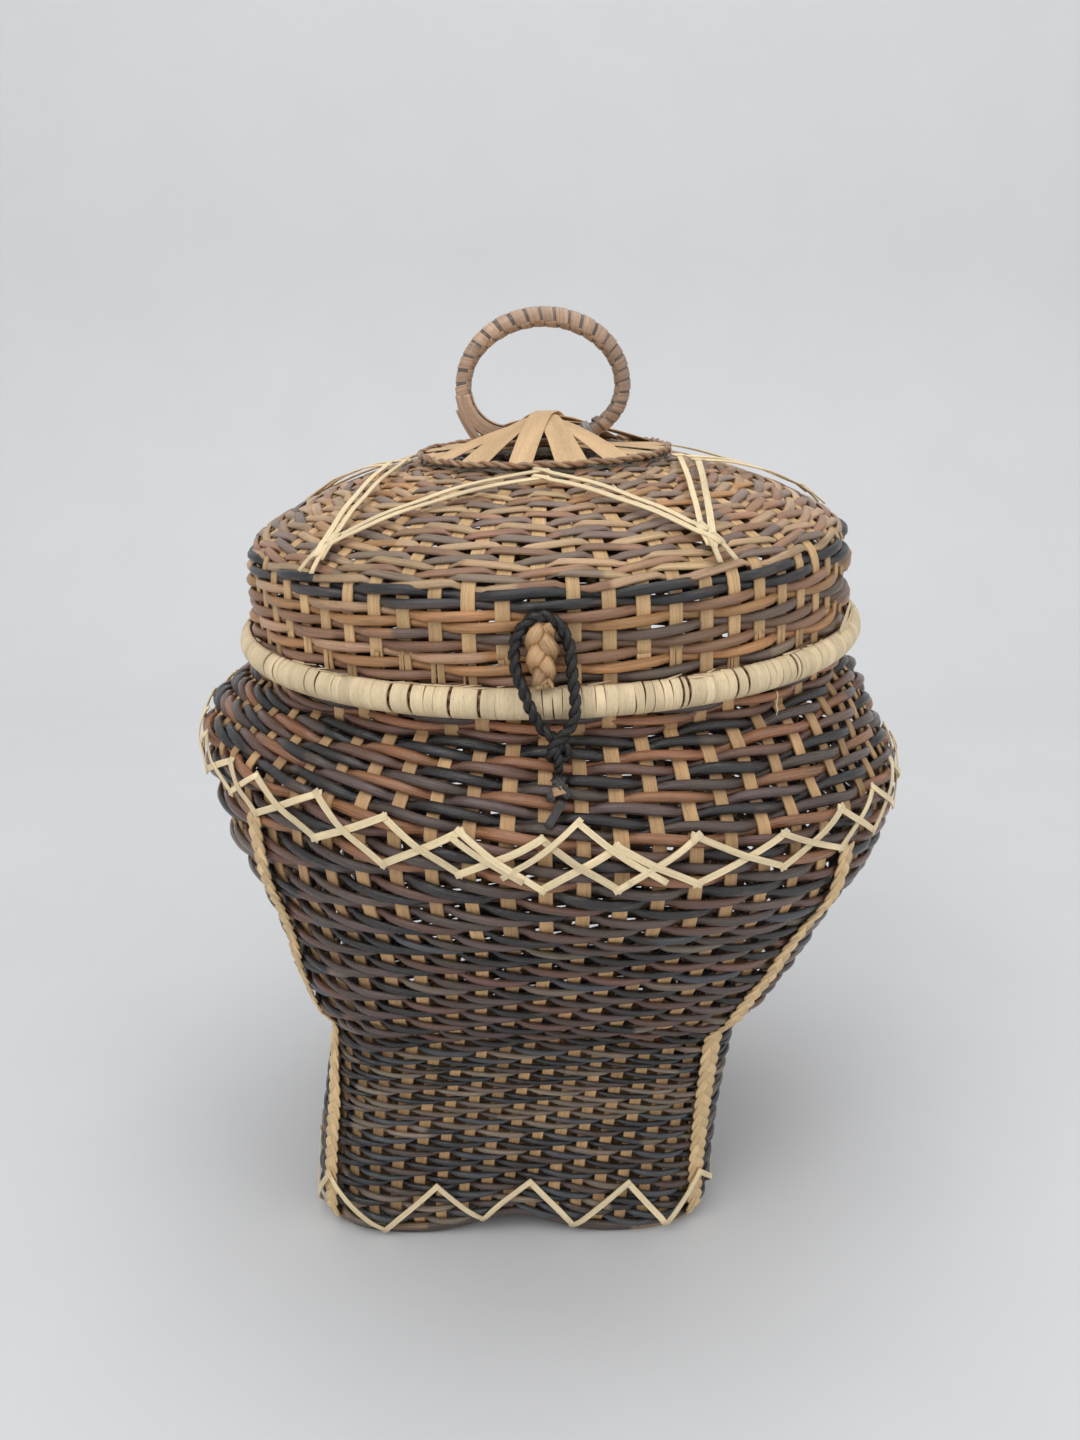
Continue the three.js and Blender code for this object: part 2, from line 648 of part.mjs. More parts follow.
// Stations of a star whose edges are straight when seen from above.
function starPath(near, far, angleOf) {
  const path = []
  for (let corner = 0; corner < 2 * STAR_POINTS; corner += 1) {
    const ends = [corner, corner + 1].map((at) => {
      const radius = at % 2 ? near : far
      return new THREE.Vector2(radius * Math.cos(angleOf(at)), radius * Math.sin(angleOf(at)))
    })
    const shares = STAR_STATIONS.map((_, i, all) => (i ? 1 - all[all.length - i] : 0))
    for (const share of corner % 2 ? shares : STAR_STATIONS) {
      const point = ends[0].clone().lerp(ends[1], share)
      path.push([Math.atan2(point.y, point.x), point.length()])
    }
  }
  return path
}

// The middle line of the ring handle: a half ellipse on top, quarter rounds at
// the lower corners and a flat run between them, in the XZ plane.
const HANDLE_FLAT = HANDLE_HALF_WIDTH - HANDLE_BEND
const FLAT_SHARE = HANDLE_FLAT / (2 * HANDLE_FLAT + Math.PI * HANDLE_BEND)

class HandleLine extends THREE.Curve {
  getPoint(t, target = new THREE.Vector3()) {
    const turn = 2 * Math.PI * t
    if (t <= 0.5) {
      const rise = HANDLE_RISE * Math.sin(turn)
      return target.set(HANDLE_HALF_WIDTH * Math.cos(turn), 0, HANDLE_WIDEST_Z + rise)
    }
    const reach = 2 * t - 1.5
    if (Math.abs(reach) < FLAT_SHARE) {
      return target.set((HANDLE_FLAT * reach) / FLAT_SHARE, 0, HANDLE_BOTTOM_Z)
    }
    const bend = ((Math.abs(reach) - FLAT_SHARE) / (0.5 - FLAT_SHARE)) * (Math.PI / 2)
    const x = Math.sign(reach) * (HANDLE_FLAT + HANDLE_BEND * Math.sin(bend))
    return target.set(x, 0, HANDLE_WIDEST_Z - HANDLE_BEND * Math.cos(bend))
  }
}

const handleLine = new HandleLine()
handleLine.arcLengthDivisions = 600
const HANDLE_LENGTH = handleLine.getLength()

// A point on the handle's surface at a share of its length.
function handlePoint(share, angle, radius) {
  const at = ((share % 1) + 1) % 1
  const point = handleLine.getPointAt(at)
  const tangent = handleLine.getTangentAt(at)
  const out = new THREE.Vector3(tangent.z, 0, -tangent.x)
  point.addScaledVector(out, radius * Math.cos(angle))
  point.y += radius * Math.sin(angle)
  return point
}

// How much longer the handle is along its surface than along its middle.
function stretch(share, angle, radius) {
  const step = 0.002
  const from = handlePoint(share - step, angle, radius)
  const to = handlePoint(share + step, angle, radius)
  return from.distanceTo(to) / (2 * step * HANDLE_LENGTH)
}

// Sections of the strip wound round the handle in one unbroken run. The strip
// narrows on the inside of the ring, so that its turns never ride up.
function handleWrap() {
  const inner = HANDLE_CORE_RADIUS + HANDLE_WRAP_SEAT
  const outer = inner + HANDLE_WRAP_THICK
  const pitch = (WRAP_TO - WRAP_FROM) / (WRAP_LOOPS + 1)
  const steps = WRAP_LOOPS * WRAP_STEPS
  const sections = []
  for (let i = 0; i <= steps; i += 1) {
    const angle = (2 * Math.PI * i) / WRAP_STEPS
    const middle = WRAP_FROM + pitch * (0.5 + i / WRAP_STEPS)
    const loose = WRAP_GAP / (2 * HANDLE_LENGTH * stretch(middle, angle, inner))
    const half = pitch / 2 - loose
    sections.push([
      handlePoint(middle - half, angle, inner),
      handlePoint(middle + half, angle, inner),
      handlePoint(middle + half, angle, outer),
      handlePoint(middle - half, angle, outer),
    ])
  }
  return sections
}

// The least distance between points at least three quarters of a loop apart.
function leastGap(sections) {
  const away = Math.round(0.75 * WRAP_STEPS)
  let least = Infinity
  sections.forEach((section, i) => {
    const far = Math.min(sections.length, i + 2 * WRAP_STEPS)
    for (let k = i + away; k < far; k += 1) {
      for (const point of section) {
        for (const other of sections[k]) least = Math.min(least, point.distanceTo(other))
      }
    }
  })
  return least
}

// The flat end of the wrapping that hangs straight down on the left.
function handleTail() {
  const from = handlePoint(WRAP_TO + 0.01, 0, HANDLE_CORE_RADIUS + GAP)
  const to = new THREE.Vector3(TAIL_END[0], 0, TAIL_END[1])
  const along = to.clone().sub(from).normalize()
  const out = new THREE.Vector3(along.z, 0, -along.x).multiplyScalar(STRIP_THICK)
  const side = new THREE.Vector3(0, TAIL_WIDTH / 2, 0)
  const sections = [0, 0.5, 1].map((share) => {
    const low = from.clone().lerp(to, share)
    const high = low.clone().add(out)
    return [low.clone().sub(side), low.clone().add(side), high.clone().add(side), high.clone().sub(side)]
  })
  return skin(sections, false)
}

function buildHandle() {
  place(seat, 'handle_core', closedCane(handleLine, HANDLE_CORE_RADIUS, 48), CANE)
  const wrap = handleWrap()
  console.log(`handle wrap: least gap to itself ${leastGap(wrap).toFixed(2)} mm`)
  place(seat, 'handle_wrap', skin(wrap, false), CANE)
  place(seat, 'handle_tail_strip', handleTail(), CANE)
}

// A point held above the body's surface, at a distance to the right of the
// middle, on the front or the back.
function abovePoint(x, row, height, back = false) {
  const lean = Math.asin(x / halfWidth(row))
  const angle = back ? -FRONT - lean : FRONT + lean
  return bodyPoint(angle, row).addScaledVector(normalOf(bodyPoint, angle, row), height)
}

// The braided toggle, thickest at its middle.
function toggle() {
  const sides = 10
  const shape = [[0, 0.5], [0.18, 0.84], [0.45, 1], [0.72, 0.92], [0.9, 0.66], [1, 0.3]]
  const middle = -(SKIRT_RADIUS + GAP + TOGGLE_DEPTH / 2)
  const sections = shape.map(([share, size]) => {
    const section = []
    for (let j = 0; j < sides; j += 1) {
      const angle = (2 * Math.PI * j) / sides
      const x = LATCH_X + TOGGLE_HALF_WIDTH * size * Math.cos(angle)
      const y = middle + (TOGGLE_DEPTH / 2) * size * Math.sin(angle)
      section.push(new THREE.Vector3(x, y, THREE.MathUtils.lerp(TOGGLE_SPAN[0], TOGGLE_SPAN[1], share)))
    }
    return section
  })
  return skin(sections, false)
}

// The cord loop: from the eye, out past the lid's ring and back in behind the
// toggle. Each row is [half width, sideways share, y, z].
function latchLoop(eyeCentre) {
  const past = RIM_RADIUS + RIM_WRAP_RADIUS + CORD_RADIUS + GAP
  const near = SKIRT_RADIUS + CORD_RADIUS + GAP
  const rows = [
    [3.1, 0, eyeCentre.y - 0.3, eyeCentre.z + 0.8],
    [5, 0.05, eyeCentre.y - 1.5, eyeCentre.z + 3.4],
    [0.7 * LOOP_HALF_WIDTH, 0.3, -past + 1, RIM_RISE - 6],
    [0.88 * LOOP_HALF_WIDTH, 0.5, -past - 0.4, RIM_RISE + 0.5],
    [LOOP_HALF_WIDTH, 0.75, -past + 1, RIM_RISE + 8],
    [LOOP_HALF_WIDTH, 1, -near - 3, RIM_RISE + 16],
    [0.86 * LOOP_HALF_WIDTH, 1, -near - 0.9, LOOP_TOP - LOOP_NARROWS],
    [0.48 * LOOP_HALF_WIDTH, 1, -near - 1.4, LOOP_TOP - 2.4],
  ]
  const middle = (share) => THREE.MathUtils.lerp(LATCH_EYE_X, LATCH_X, share)
  const right = rows.map(([half, share, y, z]) => new THREE.Vector3(middle(share) + half, y, z))
  const left = rows.map(([half, share, y, z]) => new THREE.Vector3(middle(share) - half, y, z))
  const top = new THREE.Vector3(LATCH_X, -near - 1.6, LOOP_TOP)
  const points = [eyeCentre.clone(), ...right, top, ...left.reverse()]
  return new THREE.CatmullRomCurve3(points, true, 'centripetal')
}

function buildLatch() {
  seat.updateMatrixWorld()
  const reach = LATCH_EYE_RADIUS + LATCH_EYE_THICK + GAP
  const eyeCentre = seat.worldToLocal(abovePoint(LATCH_EYE_X, SEAT_HEIGHT - LATCH_DROP, reach))
  place(seat, 'latch_eye', eye(LATCH_EYE_RADIUS, LATCH_EYE_THICK, eyeCentre), DARK)
  place(seat, 'latch_loop', closedCane(latchLoop(eyeCentre), CORD_RADIUS, 44, 6), DARK)
  place(seat, 'latch_toggle', toggle(), CANE)
  const lift = LATCH_EYE_THICK + GAP
  TAIL_DROPS.forEach(([from, to], i) => {
    const start = abovePoint(LATCH_EYE_X - 4 * i, SEAT_HEIGHT - from, lift)
    const finish = abovePoint(LATCH_X + 2 * i, SEAT_HEIGHT - to, lift)
    const line = new THREE.LineCurve3(start, finish)
    place(basket, `latch_tail_${i + 1}`, cane(line, LATCH_EYE_THICK, 2), DARK)
  })
}

function buildHinge() {
  [-1, 1].forEach((hand, i) => {
    const middle = new THREE.Vector3(hand * HINGE_X, HINGE_Y, RIM_RISE)
    place(seat, `hinge_eye_${i + 1}`, eye(HINGE_EYE_RADIUS, HINGE_EYE_THICK, middle), CANE)
    const bend = HINGE_BAR_HALF + HINGE_LEG_SPREAD * 0.6
    const foot = (way, lift) => {
      const x = middle.x + way * (HINGE_BAR_HALF + HINGE_LEG_SPREAD)
      return seat.worldToLocal(abovePoint(x, SEAT_HEIGHT - HINGE_FOOT_DROP, lift, true))
    }
    const at = (way, reach, z) => new THREE.Vector3(middle.x + way * reach, HINGE_Y, RIM_RISE + z)
    const leg = (way) => [
      foot(way, GAP),
      foot(way, HINGE_FOOT_LIFT),
      at(way, bend + 0.8, -HINGE_BEND_DROP),
      at(way, bend - 1, -1.4),
      at(way, HINGE_BAR_HALF - 1.5, 0),
    ]
    const line = new THREE.CatmullRomCurve3([...leg(-1), ...leg(1).reverse()], false, 'centripetal')
    place(seat, `hinge_bar_${i + 1}`, cane(line, HINGE_BAR_RADIUS, 24, 6), CANE)
  })
}

buildBody()
buildBodyStrips()
buildMouth()
buildLid()
buildCrown()
buildHandle()
buildLatch()
buildHinge()

export default basket
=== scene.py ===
"""Looks of a lidded wicker basket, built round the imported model. Lengths in
this file are millimetres until a mesh is made; Blender's are metres."""

import bpy
import numpy as np
from mathutils import Matrix


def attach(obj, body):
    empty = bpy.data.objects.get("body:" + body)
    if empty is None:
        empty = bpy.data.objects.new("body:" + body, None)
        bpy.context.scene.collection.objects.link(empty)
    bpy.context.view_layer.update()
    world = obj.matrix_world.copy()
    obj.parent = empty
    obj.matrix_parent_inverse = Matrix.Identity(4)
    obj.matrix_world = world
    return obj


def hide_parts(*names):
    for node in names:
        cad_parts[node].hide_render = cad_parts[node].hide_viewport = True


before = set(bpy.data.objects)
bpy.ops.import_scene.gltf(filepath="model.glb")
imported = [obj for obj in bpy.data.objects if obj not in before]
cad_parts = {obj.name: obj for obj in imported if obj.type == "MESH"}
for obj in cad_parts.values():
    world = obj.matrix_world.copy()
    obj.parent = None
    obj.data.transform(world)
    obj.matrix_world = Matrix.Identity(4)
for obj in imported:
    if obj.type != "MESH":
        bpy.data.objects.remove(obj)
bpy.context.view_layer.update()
rng = np.random.default_rng(11)

MM = 0.001
TAU = 2 * np.pi
FRONT = -np.pi / 2

# Body outline
FOOT_HALF = 102.5
FOOT_TUCK = 4
FOOT_TUCK_HEIGHT = 14
FOOT_HEIGHT = 105
BELLY_RADIUS = 173.5
BELLY_HEIGHT = 235
SHOULDER_RADIUS = 163
SHOULDER_HEIGHT = 258
MOUTH_HEIGHT = 281.5
MOUTH_RADIUS = 143.8
# Shares of the flare's height against shares of its widening
FLARE = [(0.15, 0.19), (0.35, 0.42), (0.58, 0.68), (0.77, 0.915)]
# The power of the rounded square, at the foot and at shares of the flare's height
FOOT_SQUARENESS = 5.5
SQUARENESS_FALL = [(0.15, 4.2), (0.35, 3.2), (0.58, 2.5), (0.77, 2.15)]
FOOT_SHIFT = -21.5
SHIFT_HEIGHT = 200
FOOT_ARCH = 11
ARCH_FADE = 60
ARCH_CORNER = 0.85
BELLY_ROW_SLOPE = -0.065
SHOULDER_ROW_SLOPE = -0.033

# The lid's own frame is its seat, and the middle of its wrapped ring lies above it
SEAT_HEIGHT = 290
SEAT_TILT = np.radians(1.1)
RIM_RISE = 4.5
RIM_RADIUS = 146
RIM_WRAP_RADIUS = 7.2
DISH_Z = 83
DOME_LINE = [(46, 89.3), (75, 83.5), (100, 75.8), (125, 65.5), (140, 57), (148.3, 49.9)]

UP = np.array([0, 0, 1.0])
AHEAD = np.array([0, -1.0, 0])


def smoothstep(x, low, high):
    t = np.clip((np.asarray(x, float) - low) / (high - low), 0, 1)
    return t * t * (3 - 2 * t)


def polar(radius, angle, z):
    """A point by its distance from the axis, its angle and its height."""
    return np.stack(np.broadcast_arrays(radius * np.cos(angle), radius * np.sin(angle), z), -1)


def full_turn(count):
    return TAU * np.arange(count) / count


def unit(vectors):
    return vectors / np.maximum(np.linalg.norm(vectors, axis=-1, keepdims=True), 1e-9)


def length_along(points):
    return np.concatenate([[0], np.cumsum(np.linalg.norm(np.diff(points, axis=0), axis=1))])


def tangents(points, closed=False):
    if closed:
        return unit(np.roll(points, -1, 0) - np.roll(points, 1, 0))
    return unit(np.gradient(points, axis=0))


def looped(rows):
    """Rows that end on the first one again."""
    return np.concatenate([rows, rows[:1]])


def between(at, run, values):
    """Rows of values read off at places along the run they belong to."""
    return np.stack([np.interp(at, run, column) for column in values.T], -1)


def through(points):
    """A smooth function through (x, y) points that never overshoots them."""
    xs = np.array([p[0] for p in points], float)
    ys = np.array([p[1] for p in points], float)
    rise = np.diff(ys) / np.diff(xs)
    slope = np.empty(len(xs))
    slope[0], slope[-1] = rise[0], rise[-1]
    for i in range(1, len(xs) - 1):
        before, after = rise[i - 1], rise[i]
        slope[i] = 0 if before * after <= 0 else 2 * before * after / (before + after)

    def value(x):
        x = np.asarray(x, float)
        i = np.clip(np.searchsorted(xs, x) - 1, 0, len(xs) - 2)
        span = xs[i + 1] - xs[i]
        t = np.clip((x - xs[i]) / span, 0, 1)
        start = ys[i] + slope[i] * span * t
        end = ys[i + 1] - slope[i + 1] * span * (1 - t)
        return start + (end - start) * t * t * (3 - 2 * t)

    return value


def flare_height(share):
    return FOOT_HEIGHT + share * (BELLY_HEIGHT - FOOT_HEIGHT)


half_width = through(
    [(0, FOOT_HALF - FOOT_TUCK), (FOOT_TUCK_HEIGHT, FOOT_HALF), (FOOT_HEIGHT, FOOT_HALF)]
    + [(flare_height(h), FOOT_HALF + w * (BELLY_RADIUS - FOOT_HALF)) for h, w in FLARE]
    + [(BELLY_HEIGHT, BELLY_RADIUS), (SHOULDER_HEIGHT, SHOULDER_RADIUS), (MOUTH_HEIGHT, MOUTH_RADIUS)]
)
squareness = through(
    [(0, FOOT_SQUARENESS), (FOOT_HEIGHT, FOOT_SQUARENESS)]
    + [(flare_height(h), power) for h, power in SQUARENESS_FALL]
    + [(BELLY_HEIGHT, 2), (MOUTH_HEIGHT, 2)]
)
row_slope = through([
    (0, 0), (FOOT_HEIGHT, 0), (flare_height(0.5), BELLY_ROW_SLOPE / 6), (BELLY_HEIGHT, BELLY_ROW_SLOPE),
    (SHOULDER_HEIGHT, SHOULDER_ROW_SLOPE), (MOUTH_HEIGHT - 4, np.tan(SEAT_TILT)),
    (MOUTH_HEIGHT, np.tan(SEAT_TILT)),
])


def body_point(angle, height, inset=0.0):
    angle, height = np.broadcast_arrays(np.asarray(angle, float), np.asarray(height, float))
    power = squareness(height)
    cos = np.abs(np.cos(angle)) ** power
    sin = np.abs(np.sin(angle)) ** power
    steep = half_width(height + 1) - half_width(height - 1)
    radius = half_width(height) / (cos + sin) ** (1 / power) - inset * np.hypot(1, steep / 2)
    x = radius * np.cos(angle)
    shift = FOOT_SHIFT * (1 - smoothstep(height, 0, SHIFT_HEIGHT))
    middle = 1 - smoothstep(np.abs(np.sin(2 * angle)), 0, ARCH_CORNER)
    fade = np.maximum(0, 1 - height / ARCH_FADE) ** 2
    z = height + FOOT_ARCH * middle * fade + row_slope(height) * x
    return np.stack([x + shift, radius * np.sin(angle), z], -1)


dome_height = through(DOME_LINE)


def normal_of(surface, u, v, flip=1.0):
    across = surface(u + 0.002, v) - surface(u - 0.002, v)
    along = surface(u, v + 0.2) - surface(u, v - 0.2)
    return unit(np.cross(across, along)) * flip


def above(surface, angle, along, lift, flip=1.0):
    """A point held above a surface, and the surface's normal there."""
    normal = normal_of(surface, angle, along, flip)
    return surface(angle, along) + normal * np.asarray(lift, float)[..., None], normal


def above_body(angle, height, lift):
    return above(body_point, angle, height, lift)


def dome_point(angle, radius):
    return polar(np.asarray(radius, float), angle, dome_height(radius))


def above_dome(angle, radius, lift):
    return above(dome_point, angle, radius, lift, flip=-1.0)


def from_seat(points):
    """From the lid's own frame to the basket's."""
    cos, sin = np.cos(SEAT_TILT), np.sin(SEAT_TILT)
    x, y, z = points[..., 0], points[..., 1], points[..., 2]
    return np.stack([x * cos - z * sin, y, x * sin + z * cos + SEAT_HEIGHT], -1)


def shade(red, green, blue):
    """A colour given as 0 to 255 screen values, as scene values."""
    values = np.array([red, green, blue]) / 255
    return np.where(values <= 0.04045, values / 12.92, ((values + 0.055) / 1.055) ** 2.4)


def placed(name, data):
    """A new object, linked to the scene."""
    thing = bpy.data.objects.new(name, data)
    bpy.context.scene.collection.objects.link(thing)
    return thing


# Strands
def ring_section(sides):
    turn = full_turn(sides)
    return np.stack([np.cos(turn), np.sin(turn)], -1)


ROUND = ring_section(7)
SIX = ring_section(6)
SPLIT = np.array([
    (-1, -0.8), (1, -0.8), (1, 0.4), (0.93, 0.9), (0.8, 1), (-0.8, 1), (-0.93, 0.9), (-1, 0.4),
])
FLAT = np.array([
    (-1, -1), (1, -1), (1, 0.5), (0.95, 0.93), (0.84, 1), (0, 1.04), (-0.84, 1), (-0.95, 0.93), (-1, 0.5),
])


class Bundle:
    """Strands gathered into one mesh, with each one's colour and the run of
    its fibres kept for the material."""

    def __init__(self):
        self.points, self.tints, self.fibres, self.quads, self.caps = [], [], [], [], []
        self.count = 0

    def add(self, points, normals, half_width, half_thick, tint, section=ROUND, closed=False):
        """A strand along points, its width lying square to the normals. A
        closed one goes round; the ends of an open one are capped."""
        points = np.asarray(points, float)
        normals = np.broadcast_to(np.asarray(normals, float), points.shape)
        tangent = tangents(points, closed)
        if closed:
            points, tangent, normals = looped(points), looped(tangent), looped(normals)
        count = len(points)
        side = unit(np.cross(tangent, normals))
        up = np.cross(side, tangent)
        wide = fitted(half_width, count, closed)[:, None, None]
        thick = fitted(half_thick, count, closed)[:, None, None]
        ring = side[:, None] * wide * section[None, :, :1] + up[:, None] * thick * section[None, :, 1:]
        sides = len(section)
        run = length_along(points)
        seed = rng.uniform(0, 500, 3)
        fibre = np.empty((count, sides, 3))
        fibre[..., 0] = run[:, None] + seed[0]
        fibre[..., 1] = section[None, :, 0] * wide[..., 0] + seed[1]
        fibre[..., 2] = section[None, :, 1] * thick[..., 0] + seed[2]
        tint = np.asarray(tint, float)
        if tint.ndim == 1:
            tint = np.broadcast_to(tint, (count, 3))
        elif closed and len(tint) == count - 1:
            tint = looped(tint)
        at = self.count + np.arange(count * sides).reshape(count, sides)
        here, there = at[:-1], at[1:]
        after = np.roll(np.arange(sides), -1)
        self.quads.append(np.stack([here, here[:, after], there[:, after], there], -1).reshape(-1, 4))
        if not closed:
            self.caps.append(at[0][::-1].tolist())
            self.caps.append(at[-1].tolist())
        self.points.append((points[:, None] + ring).reshape(-1, 3))
        self.tints.append(np.repeat(tint, sides, 0))
        self.fibres.append(fibre.reshape(-1, 3))
        self.count += count * sides

    def build(self, name, material, body, slot, *nodes, seat=False):
        """One mesh of all the strands. Points given from the seat are turned
        to the basket's frame first."""
        points = np.concatenate(self.points)
        if seat:
            points = from_seat(points)
        faces = np.concatenate(self.quads).tolist() + self.caps
        mesh = bpy.data.meshes.new(name)
        mesh.from_pydata((points * MM).tolist(), [], faces)
        mesh.polygons.foreach_set("use_smooth", np.ones(len(faces), bool))
        tint = mesh.attributes.new("tint", "FLOAT_COLOR", "POINT")
        colours = np.concatenate([np.concatenate(self.tints), np.ones((len(points), 1))], 1)
        tint.data.foreach_set("color", colours.ravel())
        fibre = mesh.attributes.new("fibre", "FLOAT_VECTOR", "POINT")
        fibre.data.foreach_set("vector", np.concatenate(self.fibres).ravel())
        mesh.update()
        piece = placed(name, mesh)
        mesh.materials.append(material)
        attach(piece, body)
        if nodes:
            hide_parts(*nodes)


def fitted(value, count, closed):
    """One value or a list of them, as a list of the strand's length."""
    value = np.asarray(value, float)
    if value.ndim == 0:
        return np.full(count, float(value))
    return looped(value) if closed and len(value) == count - 1 else value


def wander(angle, size, waves=9):
    """A slow unevenness round a ring that closes on itself."""
    total = np.zeros_like(angle)
    for wave in range(1, waves + 1):
        total += np.sin(wave * angle + rng.uniform(0, TAU)) * rng.normal() / np.sqrt(wave)
    return size * total / 1.7


def drift(count, size, scale):
    """A slow unevenness along an open strand of a number of points."""
    knots = max(4, int(count / scale) + 2)
    return np.interp(np.linspace(0, knots - 1, count), np.arange(knots), rng.normal(0, size, knots))


def mottled(colour, low, high, count, size, scale):
    """A strand's colours: one tone at random, drifting along its points."""
    return colour * rng.uniform(low, high) * (1 + size * drift(count, 1, scale))[:, None]


MAIN_SHARE = 0.66


def spliced(count, base, others, lengths, spread=0.07):
    """The colour along a ring of weaver: mostly one, with joins to others."""
    tint = np.empty((count, 3))
    at = 0
    while at < count:
        size = int(rng.uniform(*lengths))
        colour = base if rng.random() < MAIN_SHARE else others[rng.integers(len(others))]
        tint[at : at + size] = colour * (1 + rng.normal(0, spread)) * (1 + rng.normal(0, 0.025, 3))
        at += size
    return np.clip(tint, 0.002, 0.9)


# Materials
class Nodes:
    """A material, built node by node. An input is a value or another node's
    output."""

    def __init__(self, name):
        self.material = bpy.data.materials.new(name)
        self.material.use_nodes = True
        self.tree = self.material.node_tree
        self.tree.nodes.clear()
        self.shader = self.tree.nodes.new("ShaderNodeBsdfPrincipled")
        out = self.tree.nodes.new("ShaderNodeOutputMaterial")
        self.tree.links.new(self.shader.outputs[0], out.inputs[0])

    def fill(self, node, inputs):
        for key, value in inputs.items():
            if isinstance(value, bpy.types.NodeSocket):
                self.tree.links.new(value, node.inputs[key])
            else:
                node.inputs[key].default_value = value

    def new(self, kind, inputs, output=0, **settings):
        node = self.tree.nodes.new("ShaderNode" + kind)
        for key, value in settings.items():
            setattr(node, key, value)
        self.fill(node, inputs)
        return node.outputs[output]

    def noise(self, vector, detail, rough=0.55, scale=1.0):
        inputs = {"Vector": vector, "Scale": scale, "Detail": detail, "Roughness": rough}
        return self.new("TexNoise", inputs, "Fac")

    def stretch(self, vector, x, y, z):
        return self.new("VectorMath", {0: vector, 1: (x, y, z)}, operation="MULTIPLY")

    def remap(self, value, low, high, start=0.3, stop=0.7):
        ends = {"From Min": start, "From Max": stop, "To Min": low, "To Max": high}
        return self.new("MapRange", {"Value": value, **ends}, "Result")

    def scaled(self, colour, factor):
        return self.new("VectorMath", {0: colour, "Scale": factor}, operation="SCALE")

    def times(self, first, second):
        return self.new("Math", {0: first, 1: second}, operation="MULTIPLY")

    def constant(self, colour):
        """A colour as an output, for what has no strands of its own."""
        output = self.new("RGB", {})
        output.default_value = (*colour, 1)
        return output

    def place(self):
        return self.new("TexCoord", {}, "Object")

    def mixed(self, factor, first, colour):
        inputs = {"Factor": factor, "A": first, "B": (*colour, 1)}
        return self.new("Mix", inputs, "Result", data_type="RGBA")

    def finish(self, colour, rough, gloss=0.5):
        self.fill(self.shader, {"Base Color": colour, "Roughness": rough, "Specular IOR Level": gloss})
        return self.material

    def bump(self, height, distance):
        """Relief of a distance in mm."""
        normal = self.new("Bump", {"Height": height, "Distance": distance * MM})
        self.fill(self.shader, {"Normal": normal})


def fibre_material(name, rough, streak, grain, bump, gloss, stain=None):
    """Cane or rattan: fine lines along each strand, slow changes of tone, and
    a satin that comes and goes."""
    make = Nodes(name)
    tint = make.new("Attribute", {}, "Color", attribute_name="tint")
    fibre = make.new("Attribute", {}, "Vector", attribute_name="fibre")
    lines = make.noise(make.stretch(fibre, 0.035, grain, grain), 4.0, 0.62)
    tone = make.noise(make.stretch(fibre, 0.02, 0.12, 0.12), 2.0)
    pores = make.noise(make.stretch(fibre, 0.35, 2.2, 2.2), 2.0, 0.7)
    light = make.times(make.remap(lines, 1 - streak, 1 + streak), make.remap(tone, 0.84, 1.16))
    light = make.times(light, make.remap(pores, 0.82, 1.04, 0.28, 0.5))
    colour = make.scaled(tint, light)
    if stain is not None:
        patches = make.noise(make.stretch(fibre, 0.05, 0.3, 0.3), 3.0)
        colour = make.mixed(make.remap(patches, 0, 0.6, 0.56, 0.72), colour, stain)
    make.bump(make.times(lines, make.remap(pores, 0.6, 1.0)), bump)
    return make.finish(colour, make.remap(lines, *rough), gloss)


weaver = fibre_material("dyed_weavers", (0.18, 0.38), 0.3, 1.1, 0.5, 0.65, shade(96, 84, 76))
lid_weaver = fibre_material("lid_weavers", (0.26, 0.48), 0.24, 1.0, 0.4, 0.55, shade(120, 96, 76))
stake = fibre_material("split_stakes", (0.5, 0.75), 0.2, 1.6, 0.35, 0.3)
pale = fibre_material("pale_cane", (0.5, 0.72), 0.12, 1.8, 0.25, 0.35)
binding = fibre_material("ring_binding", (0.45, 0.68), 0.1, 1.7, 0.3, 0.35)
crown_cane = fibre_material("crown_cane", (0.55, 0.75), 0.1, 2.0, 0.2, 0.3)
polished = fibre_material("handle_cane", (0.16, 0.36), 0.22, 0.9, 0.3, 0.55)
cord_skin = fibre_material("dark_cord", (0.16, 0.4), 0.3, 1.4, 0.5, 0.5)

# The weave of the wall. STAKE_START is where the first stake stands on the front side, whose
# corners are at -1 and 1
BODY_STAKES = 64
STAKE_START = -0.908
STAKE_INSET = 4.2
STAKE_HALF = 3.05
STAKE_THICK = 0.6
STAKE_SHARE = 0.24
BELLY_SPREAD = 0.08


def side_table():
    """Angles across a square side against their share of the side's length."""
    angle = np.linspace(-np.pi / 4, np.pi / 4, 241)
    power = FOOT_SQUARENESS
    reach = 1 / (np.abs(np.cos(angle)) ** power + np.abs(np.sin(angle)) ** power) ** (1 / power)
    run = length_along(polar(reach, angle, 0.0))
    return 2 * run / run[-1] - 1, angle


SIDE_SHARES, SIDE_ANGLES = side_table()


def stake_angle(u, height):
    """Where stake number u stands at a height: evenly along the square foot,
    and spread a little wider towards the corners of the round belly."""
    turn = STAKE_START + 8 * np.asarray(u, float) / BODY_STAKES + 1
    side = np.floor(turn / 2)
    share = turn - 2 * side - 1
    foot = np.interp(share, SIDE_SHARES, SIDE_ANGLES)
    belly = np.pi / 4 * ((1 - BELLY_SPREAD) * share + BELLY_SPREAD * share**3)
    return FRONT + side * np.pi / 2 + foot + (belly - foot) * smoothstep(height, FOOT_HEIGHT, SHIFT_HEIGHT)


